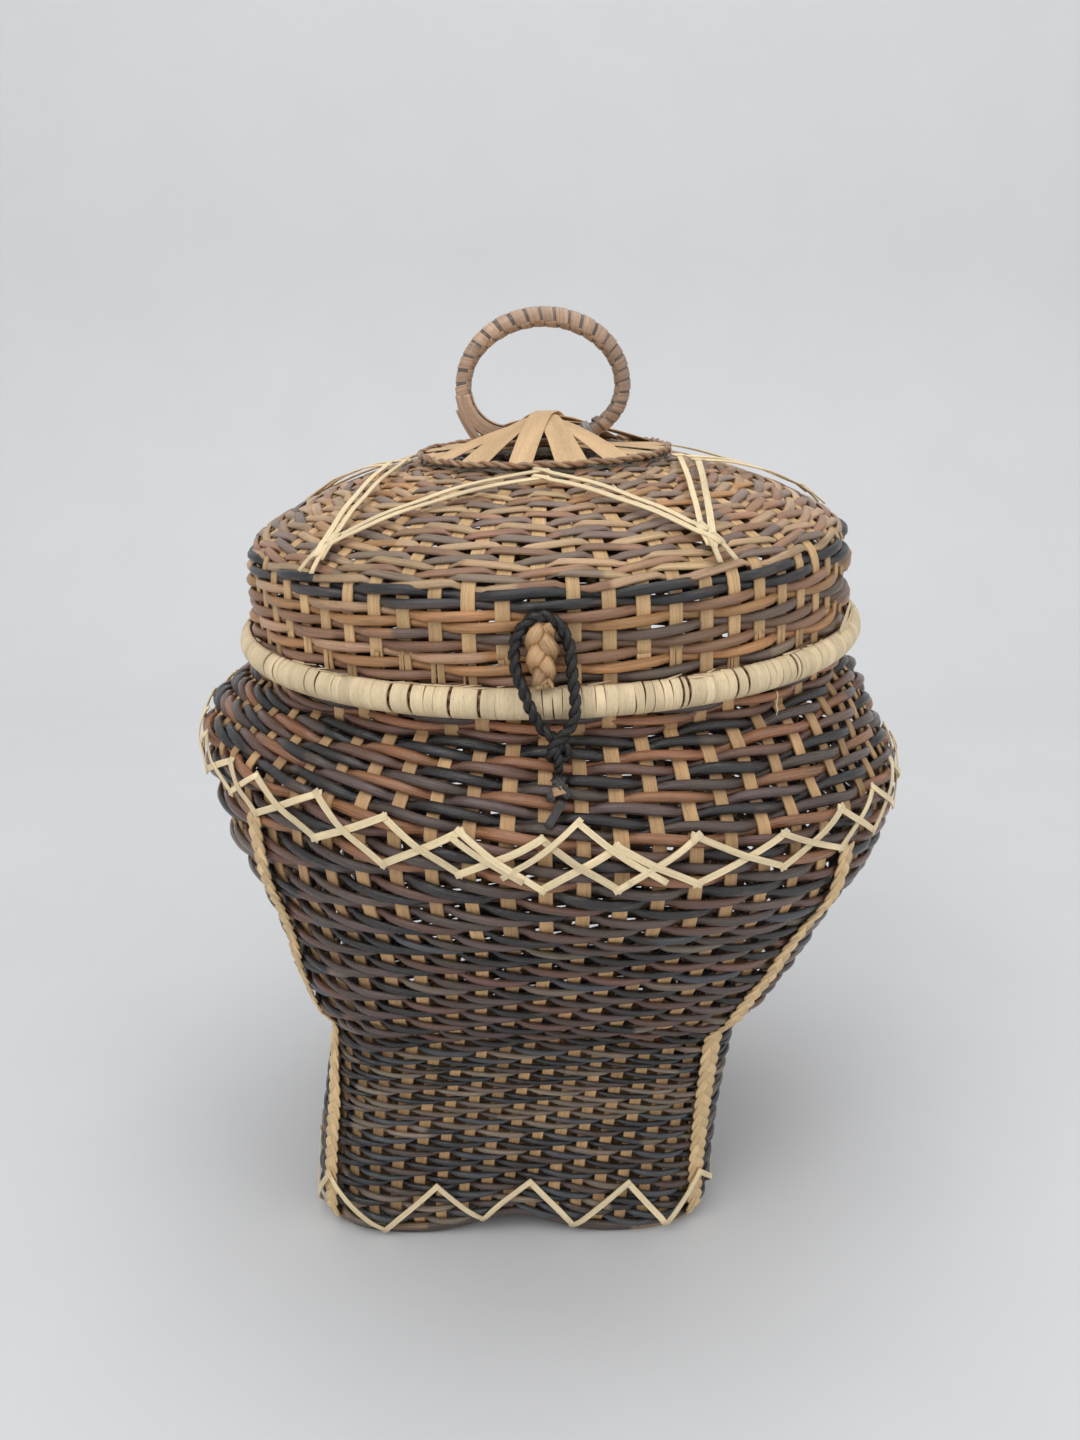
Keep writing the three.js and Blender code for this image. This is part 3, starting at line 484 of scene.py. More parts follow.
def on_body(angle, height, out):
    """A point of the woven wall, out from its stakes, and the way it faces."""
    normal = normal_of(body_point, angle, height)
    base = body_point(angle, height, STAKE_INSET)
    return base + normal * np.asarray(out, float)[..., None], normal


PROFILE_HEIGHTS = np.linspace(0, MOUTH_HEIGHT, 1113)
PROFILE_RUN = length_along(np.stack([PROFILE_HEIGHTS, half_width(PROFILE_HEIGHTS)], -1))


def height_at(run):
    return np.interp(run, PROFILE_RUN, PROFILE_HEIGHTS)


def run_at(height):
    return np.interp(height, PROFILE_HEIGHTS, PROFILE_RUN)


# Spacing of the rows of weaving along the wall, from the floor to the mouth
ROW_RUNS = [0, 25, 60, 80, 100, 116, 243, 304]
ROW_PITCHES = [3.1, 3.05, 2.5, 2.15, 2.0, 4.1, 4.15, 3.85]
ROW_FROM = 9.0
ROW_TO = 305.5


def row_pitch(run):
    return float(np.interp(run, ROW_RUNS, ROW_PITCHES))


def row_runs():
    runs, at = [], ROW_FROM
    while at < ROW_TO:
        runs.append(at)
        at += row_pitch(at)
    return runs


RED_BROWN = shade(112, 80, 66)
ORANGE = shade(150, 103, 70)
BLUE_BLACK = shade(42, 42, 44)
BLACK = shade(36, 32, 31)
DARK_BROWN = shade(76, 62, 55)
PLUM = shade(90, 73, 68)
SLATE = shade(72, 74, 78)
GREY_TAN = shade(130, 114, 98)
BODY_TAN = shade(198, 160, 116)

# Each zone's rows: half width as a share of the pitch, half thickness, slant at the crossings as a
# share of the pitch, how far they stand out over the corners and from where, and their colours
ZONES = {
    "foot": {
        "fill": (0.53, 0.57), "thick": 1.9, "slant": 0.28, "corner": 1.0, "corner_from": 0.8,
        "cycle": [BLUE_BLACK, SLATE * 0.8, DARK_BROWN, BLACK],
        "odd": [GREY_TAN, SLATE, DARK_BROWN, BLUE_BLACK, GREY_TAN * 0.7],
    },
    "flare": {
        "fill": (0.5, 0.55), "thick": 1.5, "slant": 0.18, "corner": 1.4, "corner_from": 0.85,
        "cycle": [DARK_BROWN, PLUM, BLACK, RED_BROWN * 0.8],
        "odd": [SLATE, RED_BROWN, GREY_TAN * 0.8, BLACK],
    },
    "shoulder": {
        "fill": (0.59, 0.63), "thick": 1.9, "slant": 0.28, "corner": 0.0, "corner_from": 0.85,
        "cycle": [BLACK, RED_BROWN * 0.88, ORANGE, DARK_BROWN],
        "odd": [DARK_BROWN, RED_BROWN, BLUE_BLACK, PLUM],
    },
}
FOOT_OVERRUN = 3
FLARE_TOP = 216
# The heights between which the rows stop standing out over the corners
CORNER_FADE = (150, 215)
WEAVE_SAMPLES = 5
SPLICE = (3 * WEAVE_SAMPLES, 22 * WEAVE_SAMPLES)


def zone_at(run):
    if run < run_at(FOOT_HEIGHT) + FOOT_OVERRUN:
        return "foot"
    return "flare" if run < run_at(FLARE_TOP) else "shoulder"


def over_two(phase):
    """How far out a weaver runs: over two stakes, then behind two."""
    wave = np.cos(np.pi / 2 * (phase - 0.5))
    return np.sign(wave) * np.abs(wave) ** 0.6


def crossing(phase):
    """How far a weaver of that twill leans to one side of its row."""
    return np.sin(np.pi / 2 * (phase - 0.5))


def weave_body():
    bundles = {name: Bundle() for name in ZONES}
    count = BODY_STAKES * WEAVE_SAMPLES
    u = np.arange(count) / WEAVE_SAMPLES
    turn = TAU * u / BODY_STAKES
    for row, run in enumerate(row_runs()):
        pitch = row_pitch(run)
        name = zone_at(run)
        zone = ZONES[name]
        half = pitch * rng.uniform(*zone["fill"])
        thick = min(zone["thick"], half)
        phase = u - row
        uneven = wander(turn, 0.12 * pitch)
        height = height_at(run + uneven - zone["slant"] * pitch * crossing(phase))
        angle = stake_angle(u, height)
        out = (STAKE_THICK + thick) / 0.8 * over_two(phase) + wander(turn, 0.18)
        corner = zone["corner"] * smoothstep(np.abs(np.sin(2 * angle)), zone["corner_from"], 1.0)
        out = out + corner * (1 - smoothstep(height, *CORNER_FADE))
        points, normals = on_body(angle, height, out)
        tint = spliced(count, zone["cycle"][row % 4], zone["odd"], SPLICE)
        wide = half * (1 + 0.06 * np.interp(u, np.arange(BODY_STAKES), rng.normal(size=BODY_STAKES)))
        bundles[name].add(points, normals, wide, thick, tint, closed=True)
    for name, bundle in bundles.items():
        bundle.build(f"{name}_weave", weaver, "basket", "body_weave", f"{name}_wall")


def body_stakes():
    bundle = Bundle()
    height = np.concatenate([np.arange(5.0, 276, 4), [278.5]])
    count = len(height)
    for number in range(BODY_STAKES):
        sides = [body_point(stake_angle(number + step, height), height) for step in (-0.5, 0.5)]
        spacing = np.linalg.norm(sides[1] - sides[0], axis=-1)
        half = np.minimum(STAKE_HALF, STAKE_SHARE * spacing) * rng.uniform(0.92, 1.05)
        points, normals = on_body(stake_angle(number, height), height, drift(count, 0.12, 6))
        bundle.add(points, normals, half, STAKE_THICK, mottled(BODY_TAN, 0.82, 1.12, count, 0.1, 12), SPLIT)
    bundle.build("body_stakes", stake, "basket", "stake_cane")


# The lid, along a line of radii and heights from its foot to its crown
LID_STAKES = 64
LID_TURN = np.radians(-2)
LID_MIDDLE = [
    (143.2, -2), (143.2, 8), (143.2, 20), (143.2, 32), (143.1, 39), (142.7, 44), (141.5, 48.6),
    (138.9, 52.4), (133.5, 56.3), (123.1, 61.7), (111.5, 67), (98.6, 71.8), (86.5, 75.9), (74, 79.4),
    (62, 82.2), (50, 84.6), (43.5, 85.3),
]


def bent(a, b, c, d, share):
    """The stretch from b to c of a smooth line through all four."""
    return 0.5 * (2 * b + (c - a) * share + (2 * a - 5 * b + 4 * c - d) * share**2
                  + (3 * b - a - 3 * c + d) * share**3)


def fine_line(points, steps=12):
    """A smooth line through points, sampled finely."""
    points = np.asarray(points, float)
    padded = np.concatenate([2 * points[:1] - points[1:2], points, 2 * points[-1:] - points[-2:-1]])
    share = np.arange(steps)[:, None] / steps
    pieces = [bent(*padded[i : i + 4], share) for i in range(len(points) - 1)]
    return np.concatenate(pieces + [points[-1:]])


LID_LINE = fine_line(LID_MIDDLE)
LID_RUN = length_along(LID_LINE)
LID_FACING = unit(np.stack([np.gradient(LID_LINE[:, 1]), -np.gradient(LID_LINE[:, 0])], -1))


def run_of_radius(radius):
    """How far along the lid's line its dome has come in to a radius."""
    return np.interp(-np.asarray(radius, float), -LID_LINE[:, 0] + 1e-6 * LID_RUN, LID_RUN)


def on_lid(angle, run, out):
    """A point out from the lid's line, and the way it faces."""
    run, out = np.broadcast_arrays(run, out)
    facing = unit(between(run, LID_RUN, LID_FACING))
    line = between(run, LID_RUN, LID_LINE) + out[..., None] * facing
    return polar(line[..., 0], angle, line[..., 1]), polar(facing[..., 0], angle, facing[..., 1])


def lid_angle(u):
    return FRONT + LID_TURN + TAU * np.asarray(u, float) / LID_STAKES


LID_TAN = shade(208, 172, 126)
LID_BROWN = shade(150, 112, 84)
LID_ORANGE = shade(184, 134, 88)
LID_GREY = shade(126, 106, 92)
LID_DARK = shade(66, 62, 62)
LID_BLACK = shade(42, 42, 44)
LID_SAND = shade(184, 151, 115)
LID_SAMPLES = 6
SKIRT_ROW = 4.33
SKIRT_ROWS = 10
SKIRT_BLACK_ROWS = 2
SKIRT_RUN = 10.7
SKIRT_HALF = 2.3
SKIRT_THICK = 1.9
SKIRT_REACH = 2.4
SKIRT_CYCLE = [LID_BROWN * 0.7, LID_GREY * 0.62, LID_ORANGE * 0.92, LID_BROWN * 0.86]
SKIRT_ODD = [LID_BROWN, LID_ORANGE, LID_GREY, LID_SAND]


def weave_skirt():
    bundle = Bundle()
    count = LID_STAKES * LID_SAMPLES
    u = np.arange(count) / LID_SAMPLES
    turn = TAU * u / LID_STAKES
    for row in range(SKIRT_ROWS):
        half = SKIRT_HALF * rng.uniform(0.95, 1.04)
        phase = u + row
        run = SKIRT_RUN + SKIRT_ROW * row + wander(turn, 0.3) + 0.5 * crossing(phase)
        points, normals = on_lid(lid_angle(u), run, SKIRT_REACH * over_two(phase) + wander(turn, 0.12))
        if row >= SKIRT_ROWS - SKIRT_BLACK_ROWS:
            tint = spliced(count, LID_BLACK, [LID_DARK, BLUE_BLACK, LID_BLACK], (60, 200))
        else:
            tint = spliced(count, SKIRT_CYCLE[row % 4], SKIRT_ODD, (24, 150))
        bundle.add(points, normals, half, SKIRT_THICK, tint, closed=True)
    bundle.build("lid_side_weave", lid_weaver, "lid", "lid_weave", "lid_side", "lid_edge_cane", seat=True)


def over_two_of_three(phase):
    """Out over two stakes and in behind the third."""
    near = np.minimum(np.mod(phase, 3), 3 - np.mod(phase, 3))
    return 1 - 2 * np.exp(-((near / 0.46) ** 2))


def rising(phase):
    """From low to high over two stakes and back down behind the third."""
    at = np.mod(phase, 3)
    over = np.clip((at - 1.5) / 1.0, -1, 1)
    return np.where(at < 0.5, -at / 0.5, np.where(at > 2.5, (3 - at) / 0.5, over))


# The radii of the dome's courses, three strands to each, and where they darken towards the side
COURSE_RADII = [141.4, 134.5, 124, 112, 99, 86, 73, 57.5]
DOME_DARK = (128.0, 146.0)
DOME_TONES = [LID_SAND, LID_GREY * 1.1, LID_BROWN * 1.05, LID_ORANGE * 0.95, LID_SAND * 0.88]


def weave_dome():
    """Three strands side by side spiral up the dome. Each goes over two stakes
    and behind one, and leans the other way on each row."""
    bundle = Bundle()
    centres = run_of_radius(COURSE_RADII)
    courses = len(centres) - 1
    count = courses * LID_STAKES * LID_SAMPLES + 1
    u = np.arange(count) / LID_SAMPLES
    for strand in range(3):
        phase = u + strand
        along = u / LID_STAKES + (strand - 1) / 3
        row = np.interp(along, np.arange(courses) + 0.5, np.diff(centres)) / 3
        shown = smoothstep(over_two_of_three(phase), -0.6, 1.0)
        way = np.cos(np.pi * (np.floor(u / LID_STAKES) + strand))
        run = np.interp(along, np.arange(courses + 1), centres) + 0.42 * row * way * rising(phase)
        run = run + drift(count, 0.3, 3 * LID_SAMPLES)
        out = 1.4 * over_two_of_three(phase) + drift(count, 0.12, 4 * LID_SAMPLES)
        points, normals = on_lid(-FRONT + LID_TURN + TAU * u / LID_STAKES, run, out)
        dark = 0.3 * smoothstep(run, *run_of_radius(DOME_DARK))
        tint = spliced(count, DOME_TONES[strand], DOME_TONES, (2 * LID_SAMPLES, 9 * LID_SAMPLES), 0.12)
        tint = tint * (1 - dark * (rng.random() < 0.7))[:, None]
        half = np.clip(0.56 * row, 0.95, 2.4) * (0.8 + 0.26 * shown)
        bundle.add(points, normals, half, 0.8, tint, SIX)
    bundle.build("dome_weave", lid_weaver, "lid", "lid_weave", "lid_dome", seat=True)


SPLIT_RUN = 25.0
SPLINTER_RADIUS = 143
STAKES_TO = 59.0


def lid_stakes():
    """Stakes up the lid, each split into splinters below SPLIT_RUN."""
    bundle = Bundle()
    run = np.concatenate([[SPLIT_RUN - 1.5], np.arange(SPLIT_RUN + 2, run_of_radius(STAKES_TO), 3.2)])
    radius = np.interp(run, LID_RUN, LID_LINE[:, 0])
    split_run = np.arange(4.0, SPLIT_RUN + 1, 3)
    low = 1 - smoothstep(split_run, 0, SPLIT_RUN)
    for number in range(LID_STAKES):
        angle = lid_angle(number)
        half = np.minimum(3.0, 0.4 * TAU * radius / LID_STAKES) * rng.uniform(0.93, 1.04)
        tone = LID_TAN * rng.uniform(0.86, 1.1)
        bundle.add(*on_lid(angle, run, drift(len(run), 0.1, 6)), half, STAKE_THICK, tone, SPLIT)
        parts = int(rng.integers(2, 5)) if rng.random() < 0.8 else 1
        edges = np.concatenate([[0], np.sort(rng.uniform(0.2, 0.8, parts - 1)), [1]])
        for left, right in zip(edges[:-1], edges[1:]):
            middle = (left + right - 1) * half[0] * (1 + 0.22 * low) + 0.3 * rng.normal() * low
            width = max(0.45, (right - left) * half[0] * (0.74 if parts > 1 else 1))
            points, normals = on_lid(angle + middle / SPLINTER_RADIUS, split_run, rng.uniform(-0.15, 0.15))
            bundle.add(points, normals, width, STAKE_THICK, tone * rng.uniform(0.92, 1.08), SPLIT)
    bundle.build("lid_stakes", stake, "lid", "stake_cane", seat=True)


# Lines and windings shared by the ribbons, plaits and cords
def closed_line(points, steps=10):
    """A smooth closed line through points, sampled finely."""
    padded = np.array([points[-1], *points, *points[:2]], float)
    share = np.arange(steps)[:, None] / steps
    return np.concatenate([bent(*padded[i : i + 4], share) for i in range(len(points))])


def resampled(points, step):
    """The same closed line with its points evenly apart."""
    points = looped(points)
    run = length_along(points)
    return between(np.linspace(0, run[-1], int(round(run[-1] / step)) + 1), run, points)[:-1]


def twine(bundle, centre, normals, ply, spread, pitch, tints):
    """Plies twisted round a finely sampled closed line, one for each tint."""
    side = unit(np.cross(tangents(centre, closed=True), normals))
    run = length_along(looped(centre))
    turns = max(1, round(run[-1] / pitch))
    for number, tint in enumerate(tints):
        phase = TAU * (turns * run[:-1] / run[-1] + number / len(tints))
        away = normals * np.cos(phase)[:, None] + side * np.sin(phase)[:, None]
        bundle.add(centre + away * spread, unit(away), ply, ply, tint, SIX, closed=True)


def plait(bundle, centre, normals, spread, pitch, wide, thick, lift, tints, section=FLAT):
    """Three strands plaited flat along a finely sampled line."""
    side = unit(np.cross(tangents(centre), normals))
    run = length_along(centre)
    for strand, tint in enumerate(tints):
        phase = TAU * (run / pitch + strand / 3)
        across = np.asarray(spread) * np.sin(phase)
        out = lift * np.sin(2 * phase)
        tint = tint * (1 + 0.06 * drift(len(run), 1, 8))[:, None]
        points = centre + side * across[:, None] + normals * out[:, None]
        bundle.add(points, normals, wide, thick, tint, section)


# The light strips and plaits on the body
PALE = shade(236, 215, 174)
PLAIT_TAN = shade(216, 186, 140)
PLAIT_TONES = [PLAIT_TAN, PLAIT_TAN * 0.9, PLAIT_TAN * 1.06]
STRIP_THICK = 0.36
LATTICE_STEPS = 32
LATTICE_HIGH = 246.0
LATTICE_LOW = 227.6
# Where the front corners stand: number round, degrees on, top and bottom height
LATTICE_FRONT = (
    (-4, -2.4, 245.4, 229.0), (-3, -0.9, 248.2, 229.9), (-2, -0.9, 246.2, 227.2), (-1, -1.3, 245.7, 228.9),
    (0, -1.8, 245.6, 225.7), (1, -3.2, 243.9, 226.4), (2, -3.4, 246.0, 227.1), (3, -0.9, 242.4, 228.3),
)

# Extra ends tucked in beside the lattice: from and to, in degrees and height
LATTICE_ENDS = (
    ((-7.0, 229.5), (3.4, 252.4)), ((3.0, 251.2), (14.5, 229.0)),
    ((9.5, 229.5), (18.0, 244.5)), ((-13.5, 243.5), (-4.2, 228.5)),
)

# The corner plaits' way down, in degrees from the front and heights. The last two are the seen ones
BRAID_LINES = {
    "corner_braid_1": ((135, 227), (135, 4)),
    "corner_braid_2": ((225, 227), (225, 4)),
    "corner_braid_3": ((-48.6, 227), (-48.4, 197), (-50.0, 165), (-51.8, 139), (-51, 105), (-47, 72),
                       (-46.2, 14), (-46.2, 4)),
    "corner_braid_4": ((47.5, 227), (46.3, 203), (42.8, 168), (40.4, 136), (41.8, 104), (42.8, 75),
                       (45.2, 14), (45.4, 4)),
}
ZIGZAG_PEAKS = (-45.5, -20.8, 3.8, 28.4)
ZIGZAG_LOWS = (-33.0, -8.6, 16.4, 37.5)
ZIGZAG_HIGH = 32.0
ZIGZAG_LOW = 6.0


def straight_runs(bundle, corners, lift_at, half, overlap=0.05):
    """Flat runs over the wall from corner to corner, given as angles and
    heights. Each is folded over the end of the last."""
    samples = 11
    share = np.linspace(-overlap, 1 + overlap, samples)
    corners = np.array(corners, float)
    for number, (start, stop) in enumerate(zip(corners[:-1], corners[1:])):
        at = start + (stop - start) * share[:, None]
        at[:, 0] += 0.001 * drift(samples, 1, 5)
        points, normals = above_body(at[:, 0], at[:, 1], lift_at(number, share, at[:, 0]))
        tone = mottled(PALE, 0.9, 1.05, samples, 0.04, 3)
        bundle.add(points, normals, half * rng.uniform(0.88, 1.08), STRIP_THICK, tone, FLAT)


def lay_lattice():
    """Two zigzags round the belly that cross, each over the other by turns."""
    turn = full_turn(LATTICE_STEPS) + rng.normal(0, 0.014, LATTICE_STEPS)
    high = LATTICE_HIGH + rng.normal(0, 1.2, LATTICE_STEPS)
    low = LATTICE_LOW + rng.normal(0, 1.1, LATTICE_STEPS)
    for number, on, top, bottom in LATTICE_FRONT:
        turn[number] = TAU * (number % LATTICE_STEPS) / LATTICE_STEPS + np.radians(on)
        high[number], low[number] = top, bottom
    for phase in range(2):
        bundle = Bundle()
        corners = []
        for number in range(LATTICE_STEPS + 1):
            at = number % LATTICE_STEPS
            height = high[at] if (number + phase) % 2 else low[at]
            corners.append((FRONT + turn[at] + TAU * (number // LATTICE_STEPS), height))

        def lift_at(number, share, angle, phase=phase):
            over = 1.15 * ((number + phase) % 2) * np.exp(-(((share - 0.5) / 0.22) ** 2))
            return 1.35 + 0.4 * (number % 2) + over

        straight_runs(bundle, corners, lift_at, 1.5)
        if phase:
            for pair in LATTICE_ENDS:
                ends = [(FRONT + np.radians(degrees), height) for degrees, height in pair]
                straight_runs(bundle, ends, lambda number, share, angle: 2.5, 1.3, 0.0)
        number = phase + 1
        bundle.build(f"lattice_weave_{number}", pale, "basket", "pale_cane", f"lattice_strip_{number}")


def lay_braids():
    for node, line in BRAID_LINES.items():
        bundle = Bundle()
        corners = np.array(line, float)
        height = np.arange(corners[0, 1], corners[-1, 1], -1.5)
        degrees = np.interp(-height, -corners[:, 1], corners[:, 0])
        degrees = np.convolve(np.pad(degrees, 4, "edge"), np.ones(9) / 9, "valid")
        points, normals = above_body(FRONT + np.radians(degrees), height, 0.8)
        plait(bundle, points, normals, 3.3, 19.0, 2.3, 0.42, 0.5, PLAIT_TONES)
        bundle.build(node.replace("braid", "plait"), pale, "basket", "pale_cane", node)


def lay_zigzag():
    bundle = Bundle()
    corners = []
    for side in range(4):
        for peak, low in zip(ZIGZAG_PEAKS, ZIGZAG_LOWS):
            turn = FRONT + np.pi / 2 * side
            corners.append((turn + np.radians(peak), ZIGZAG_HIGH + rng.normal(0, 0.9)))
            corners.append((turn + np.radians(low), ZIGZAG_LOW + rng.normal(0, 0.8)))
    corners.append((corners[0][0] + TAU, corners[0][1]))

    def lift_at(number, share, angle):
        return 1.3 + 0.4 * (number % 2) + 1.9 * smoothstep(np.abs(np.sin(2 * angle)), 0.9, 0.99)

    straight_runs(bundle, corners, lift_at, 1.5, 0.04)
    bundle.build("foot_zigzag_strip", pale, "basket", "pale_cane", "foot_zigzag")


# The mouth, the neck inside it and the bottom
RIM_TAN = shade(170, 138, 98)
MOUTH_ROWS = (-10.9, -7.2, -3.6)
MOUTH_STAKE_RADIUS = 142.0
NECK_RADIUS = 136.6
NECK_TOP = 14.8
NECK_LOW = -11
NECK_ROWS = 7
NECK_ROW = 3.6
NECK_FIRST_ROW = -9.2
NECK_CYCLE = [DARK_BROWN, BLUE_BLACK, RED_BROWN]
RING_SPLICE = (30, 120)


def weave_mouth():
    """The last rows of the wall's twill, under the lid's ring."""
    bundle, ends = Bundle(), Bundle()
    count = BODY_STAKES * WEAVE_SAMPLES
    u = np.arange(count) / WEAVE_SAMPLES
    angle = stake_angle(u, MOUTH_HEIGHT)
    zone = ZONES["shoulder"]
    for row, z in enumerate(MOUTH_ROWS, start=len(row_runs())):
        reach = MOUTH_STAKE_RADIUS + 0.3 + 2.1 * over_two(u - row) + wander(angle, 0.12)
        height = z + wander(angle, 0.25) - 0.7 * crossing(u - row)
        tint = spliced(count, zone["cycle"][row % 4], zone["odd"], RING_SPLICE)
        bundle.add(polar(reach, angle, height), polar(1.0, angle, 0.0), 2.1, 1.75, tint, closed=True)
    for number in range(BODY_STAKES):
        turn = stake_angle(number, MOUTH_HEIGHT)
        points = polar(MOUTH_STAKE_RADIUS, turn, np.linspace(-13.5, -1.2, 5))
        tone = BODY_TAN * rng.uniform(0.85, 1.2)
        ends.add(points, polar(1.0, turn, 0.0), STAKE_HALF, STAKE_THICK, tone, SPLIT)
    bundle.build("mouth_weave", weaver, "basket", "body_weave", "mouth_hoop", seat=True)
    ends.build("mouth_stakes", stake, "basket", "stake_cane", seat=True)


def weave_collar():
    stakes, rows = Bundle(), Bundle()
    for turn in full_turn(BODY_STAKES):
        points = polar(NECK_RADIUS, turn, np.linspace(NECK_LOW, NECK_TOP - rng.uniform(0, 1.5), 10))
        stakes.add(points, polar(1.0, turn, 0.0), 2.9, 0.55, BODY_TAN * rng.uniform(0.85, 1.1), SPLIT)
    count = BODY_STAKES * WEAVE_SAMPLES
    angle = full_turn(count)
    for row in range(NECK_ROWS):
        radius = NECK_RADIUS + over_two(np.arange(count) / WEAVE_SAMPLES - row)
        points = polar(radius, angle, NECK_FIRST_ROW + NECK_ROW * row + wander(angle, 0.15))
        tint = spliced(count, NECK_CYCLE[row % 3], [BLACK, PLUM], RING_SPLICE)
        rows.add(points, polar(1.0, angle, 0.0), 1.75, 0.8, tint, SIX, closed=True)
    stakes.build("neck_stakes", stake, "basket", "stake_cane", "neck_collar", seat=True)
    rows.build("neck_weave", weaver, "basket", "body_weave", seat=True)


# The canes of the foot's edge: height, inset, half width and colour
EDGE_ROWS = (
    (1.95, 2.1, 1.85, RIM_TAN * 0.78), (5.2, 1.6, 1.9, DARK_BROWN * 1.2), (2.4, 5.0, 1.8, RIM_TAN * 0.7),
)
BOTTOM_PITCH = 10.0
BOTTOM_HALF = 93.5
BOTTOM_EDGE = 95
BOTTOM_LAST = 85
BOTTOM_Z = 22.5


def weave_bottom():
    bundle = Bundle()
    places = np.arange(-BOTTOM_LAST, BOTTOM_LAST + 1, BOTTOM_PITCH)
    for way in range(2):
        for number, place in enumerate(places):
            short = (1 - np.abs(place / BOTTOM_EDGE) ** FOOT_SQUARENESS) ** (1 / FOOT_SQUARENESS)
            reach = BOTTOM_HALF * short
            along = np.arange(-reach, reach + 0.1, BOTTOM_PITCH / 4)
            wave = 0.95 * np.sin(np.pi * (along / BOTTOM_PITCH + 0.5) + np.pi * (number + way))
            across = np.full(len(along), place)
            x, y = (along, across) if way else (across, along)
            points = np.stack([x + FOOT_SHIFT + 0.6, y, BOTTOM_Z + wave], -1)
            bundle.add(points, UP, 4.5, 0.5, BODY_TAN * rng.uniform(0.72, 0.98), SPLIT)
    bundle.build("bottom_weave", stake, "basket", "stake_cane", "base_panel")
    edge = Bundle()
    angle = full_turn(360)
    for height, inset, ply, tone in EDGE_ROWS:
        points = body_point(angle, height + wander(angle, 0.05), inset)
        tint = spliced(360, tone, [RIM_TAN * 0.6, DARK_BROWN], RING_SPLICE)
        edge.add(points, normal_of(body_point, angle, height), ply, ply, tint, closed=True)
    edge.build("foot_edge", weaver, "basket", "body_weave", "base_rim")


# The ring of the lid and its binding, whose turns run round the tube from PROFILE_FROM to PROFILE_TO
BINDING = shade(226, 204, 166)
CORE_TONES = [shade(136, 100, 70), shade(112, 84, 62), shade(150, 114, 80)]
RING_GAPS = np.radians([-55, -42, -23, -12, 20, 30.6, 43])
PROFILE_FROM = np.radians(74)
PROFILE_TO = np.radians(-178)
BINDING_RADIUS = 6.55
BINDING_SAMPLES = 20
# Widths of the turns in mm and how often each comes, left of the front and elsewhere
WIDE_TURNS = ([4.0, 6.0, 8.0, 11.0, 14.0], [0.2, 0.25, 0.25, 0.2, 0.1])
TURNS = ([2.6, 4.0, 5.2, 7.0], [0.15, 0.4, 0.3, 0.15])
SLIVERS = 110
HANGING_AT = np.radians(38.7)
# Two ends that stand up beside the ring: degrees from the front, rise and half width
LOOSE_ENDS = ((61.0, 13.0, 4.2), (63.5, 9.0, 2.6))
CORE_PLIES = 6
CORE_RADIUS = 3.6


def around_ring(angle, turn, radius):
    """A point on a tube that follows the ring, and the way it faces."""
    points = polar(RIM_RADIUS + radius * np.cos(turn), angle, RIM_RISE + radius * np.sin(turn))
    return points, polar(np.cos(turn), angle, np.sin(turn))


def turn_width(degrees):
    widths, odds = WIDE_TURNS if -150 < degrees < -4 else TURNS
    return rng.choice(widths, p=odds)


def wind_turns(bundle):
    """The binding's turns side by side, some narrower at one end, with open
    slits at RING_GAPS."""
    turn = np.linspace(PROFILE_FROM, PROFILE_TO, BINDING_SAMPLES)
    high = smoothstep(turn, np.radians(-40), PROFILE_FROM)
    at, stop = -np.pi, np.pi
    while at < stop - 0.004:
        width = turn_width(np.degrees(at))
        across = min(width / (RIM_RADIUS + RIM_WRAP_RADIUS), stop - at)
        middle = at + across / 2
        open_gap = np.min(np.abs(RING_GAPS - middle)) < across / 2
        gap = rng.uniform(1.8, 2.8) if open_gap else 0.06
        taper = rng.uniform(0, 0.5) if rng.random() < 0.6 else 0
        half = width / 2 - gap / 2 - taper * (high if rng.random() < 0.6 else 1 - high)
        angle = FRONT + middle + rng.normal(0, 0.0012) * turn + 0.0006 * drift(BINDING_SAMPLES, 1, 6)
        points, normals = around_ring(angle, turn, BINDING_RADIUS + rng.uniform(-0.08, 0.05))
        # Painted shade: each turn is a tenth darker where it passes under the ring, facing down and inwards
        tone = mottled(BINDING, 0.93, 1.05, BINDING_SAMPLES, 0.03, 5) * (1 - 0.1 * (turn < -1.6))[:, None]
        bundle.add(points, normals, np.maximum(half, 0.8), 0.5, tone, FLAT)
        at += across


def fray_ring(bundle):
    """Fine slivers along the top of the binding, and its loose ends."""
    for _ in range(SLIVERS):
        middle = FRONT + rng.uniform(-np.pi, np.pi)
        length = rng.uniform(0.02, 0.07)
        run = np.linspace(0, 1, 7)
        turn = np.radians(rng.uniform(62, 80)) + np.radians(rng.uniform(-12, 12)) * run
        points, normals = around_ring(middle + length * run, turn, 7.0 + rng.uniform(0, 1.2) * run)
        half = rng.uniform(0.25, 0.6) * (1.05 - run)
        bundle.add(points, normals, half, 0.22, BINDING * rng.uniform(0.75, 1.05), FLAT)
    loose = np.linspace(0, 1, 9)
    for place, rise, half in LOOSE_ENDS:
        angle = FRONT + np.radians(place + 3.0 * loose)
        points = polar(149.6 + 1.6 * loose, angle, 9.5 + rise * loose)
        half = half * (1.1 - 0.8 * loose)
        bundle.add(points, unit(polar(1.0, angle, -0.15)), half, 0.25, BINDING * 0.92, FLAT)
    angle = FRONT + HANGING_AT
    fall = np.linspace(-2.2, -13, 6)
    points = polar(151, angle, fall)
    points[:, 0] += 0.3 * np.sin(fall)
    points[:, 1] += 0.5 * np.sin(angle)
    bundle.add(points, polar(1.0, angle, 0.0), 0.3, 0.2, BINDING * 0.9, SIX)


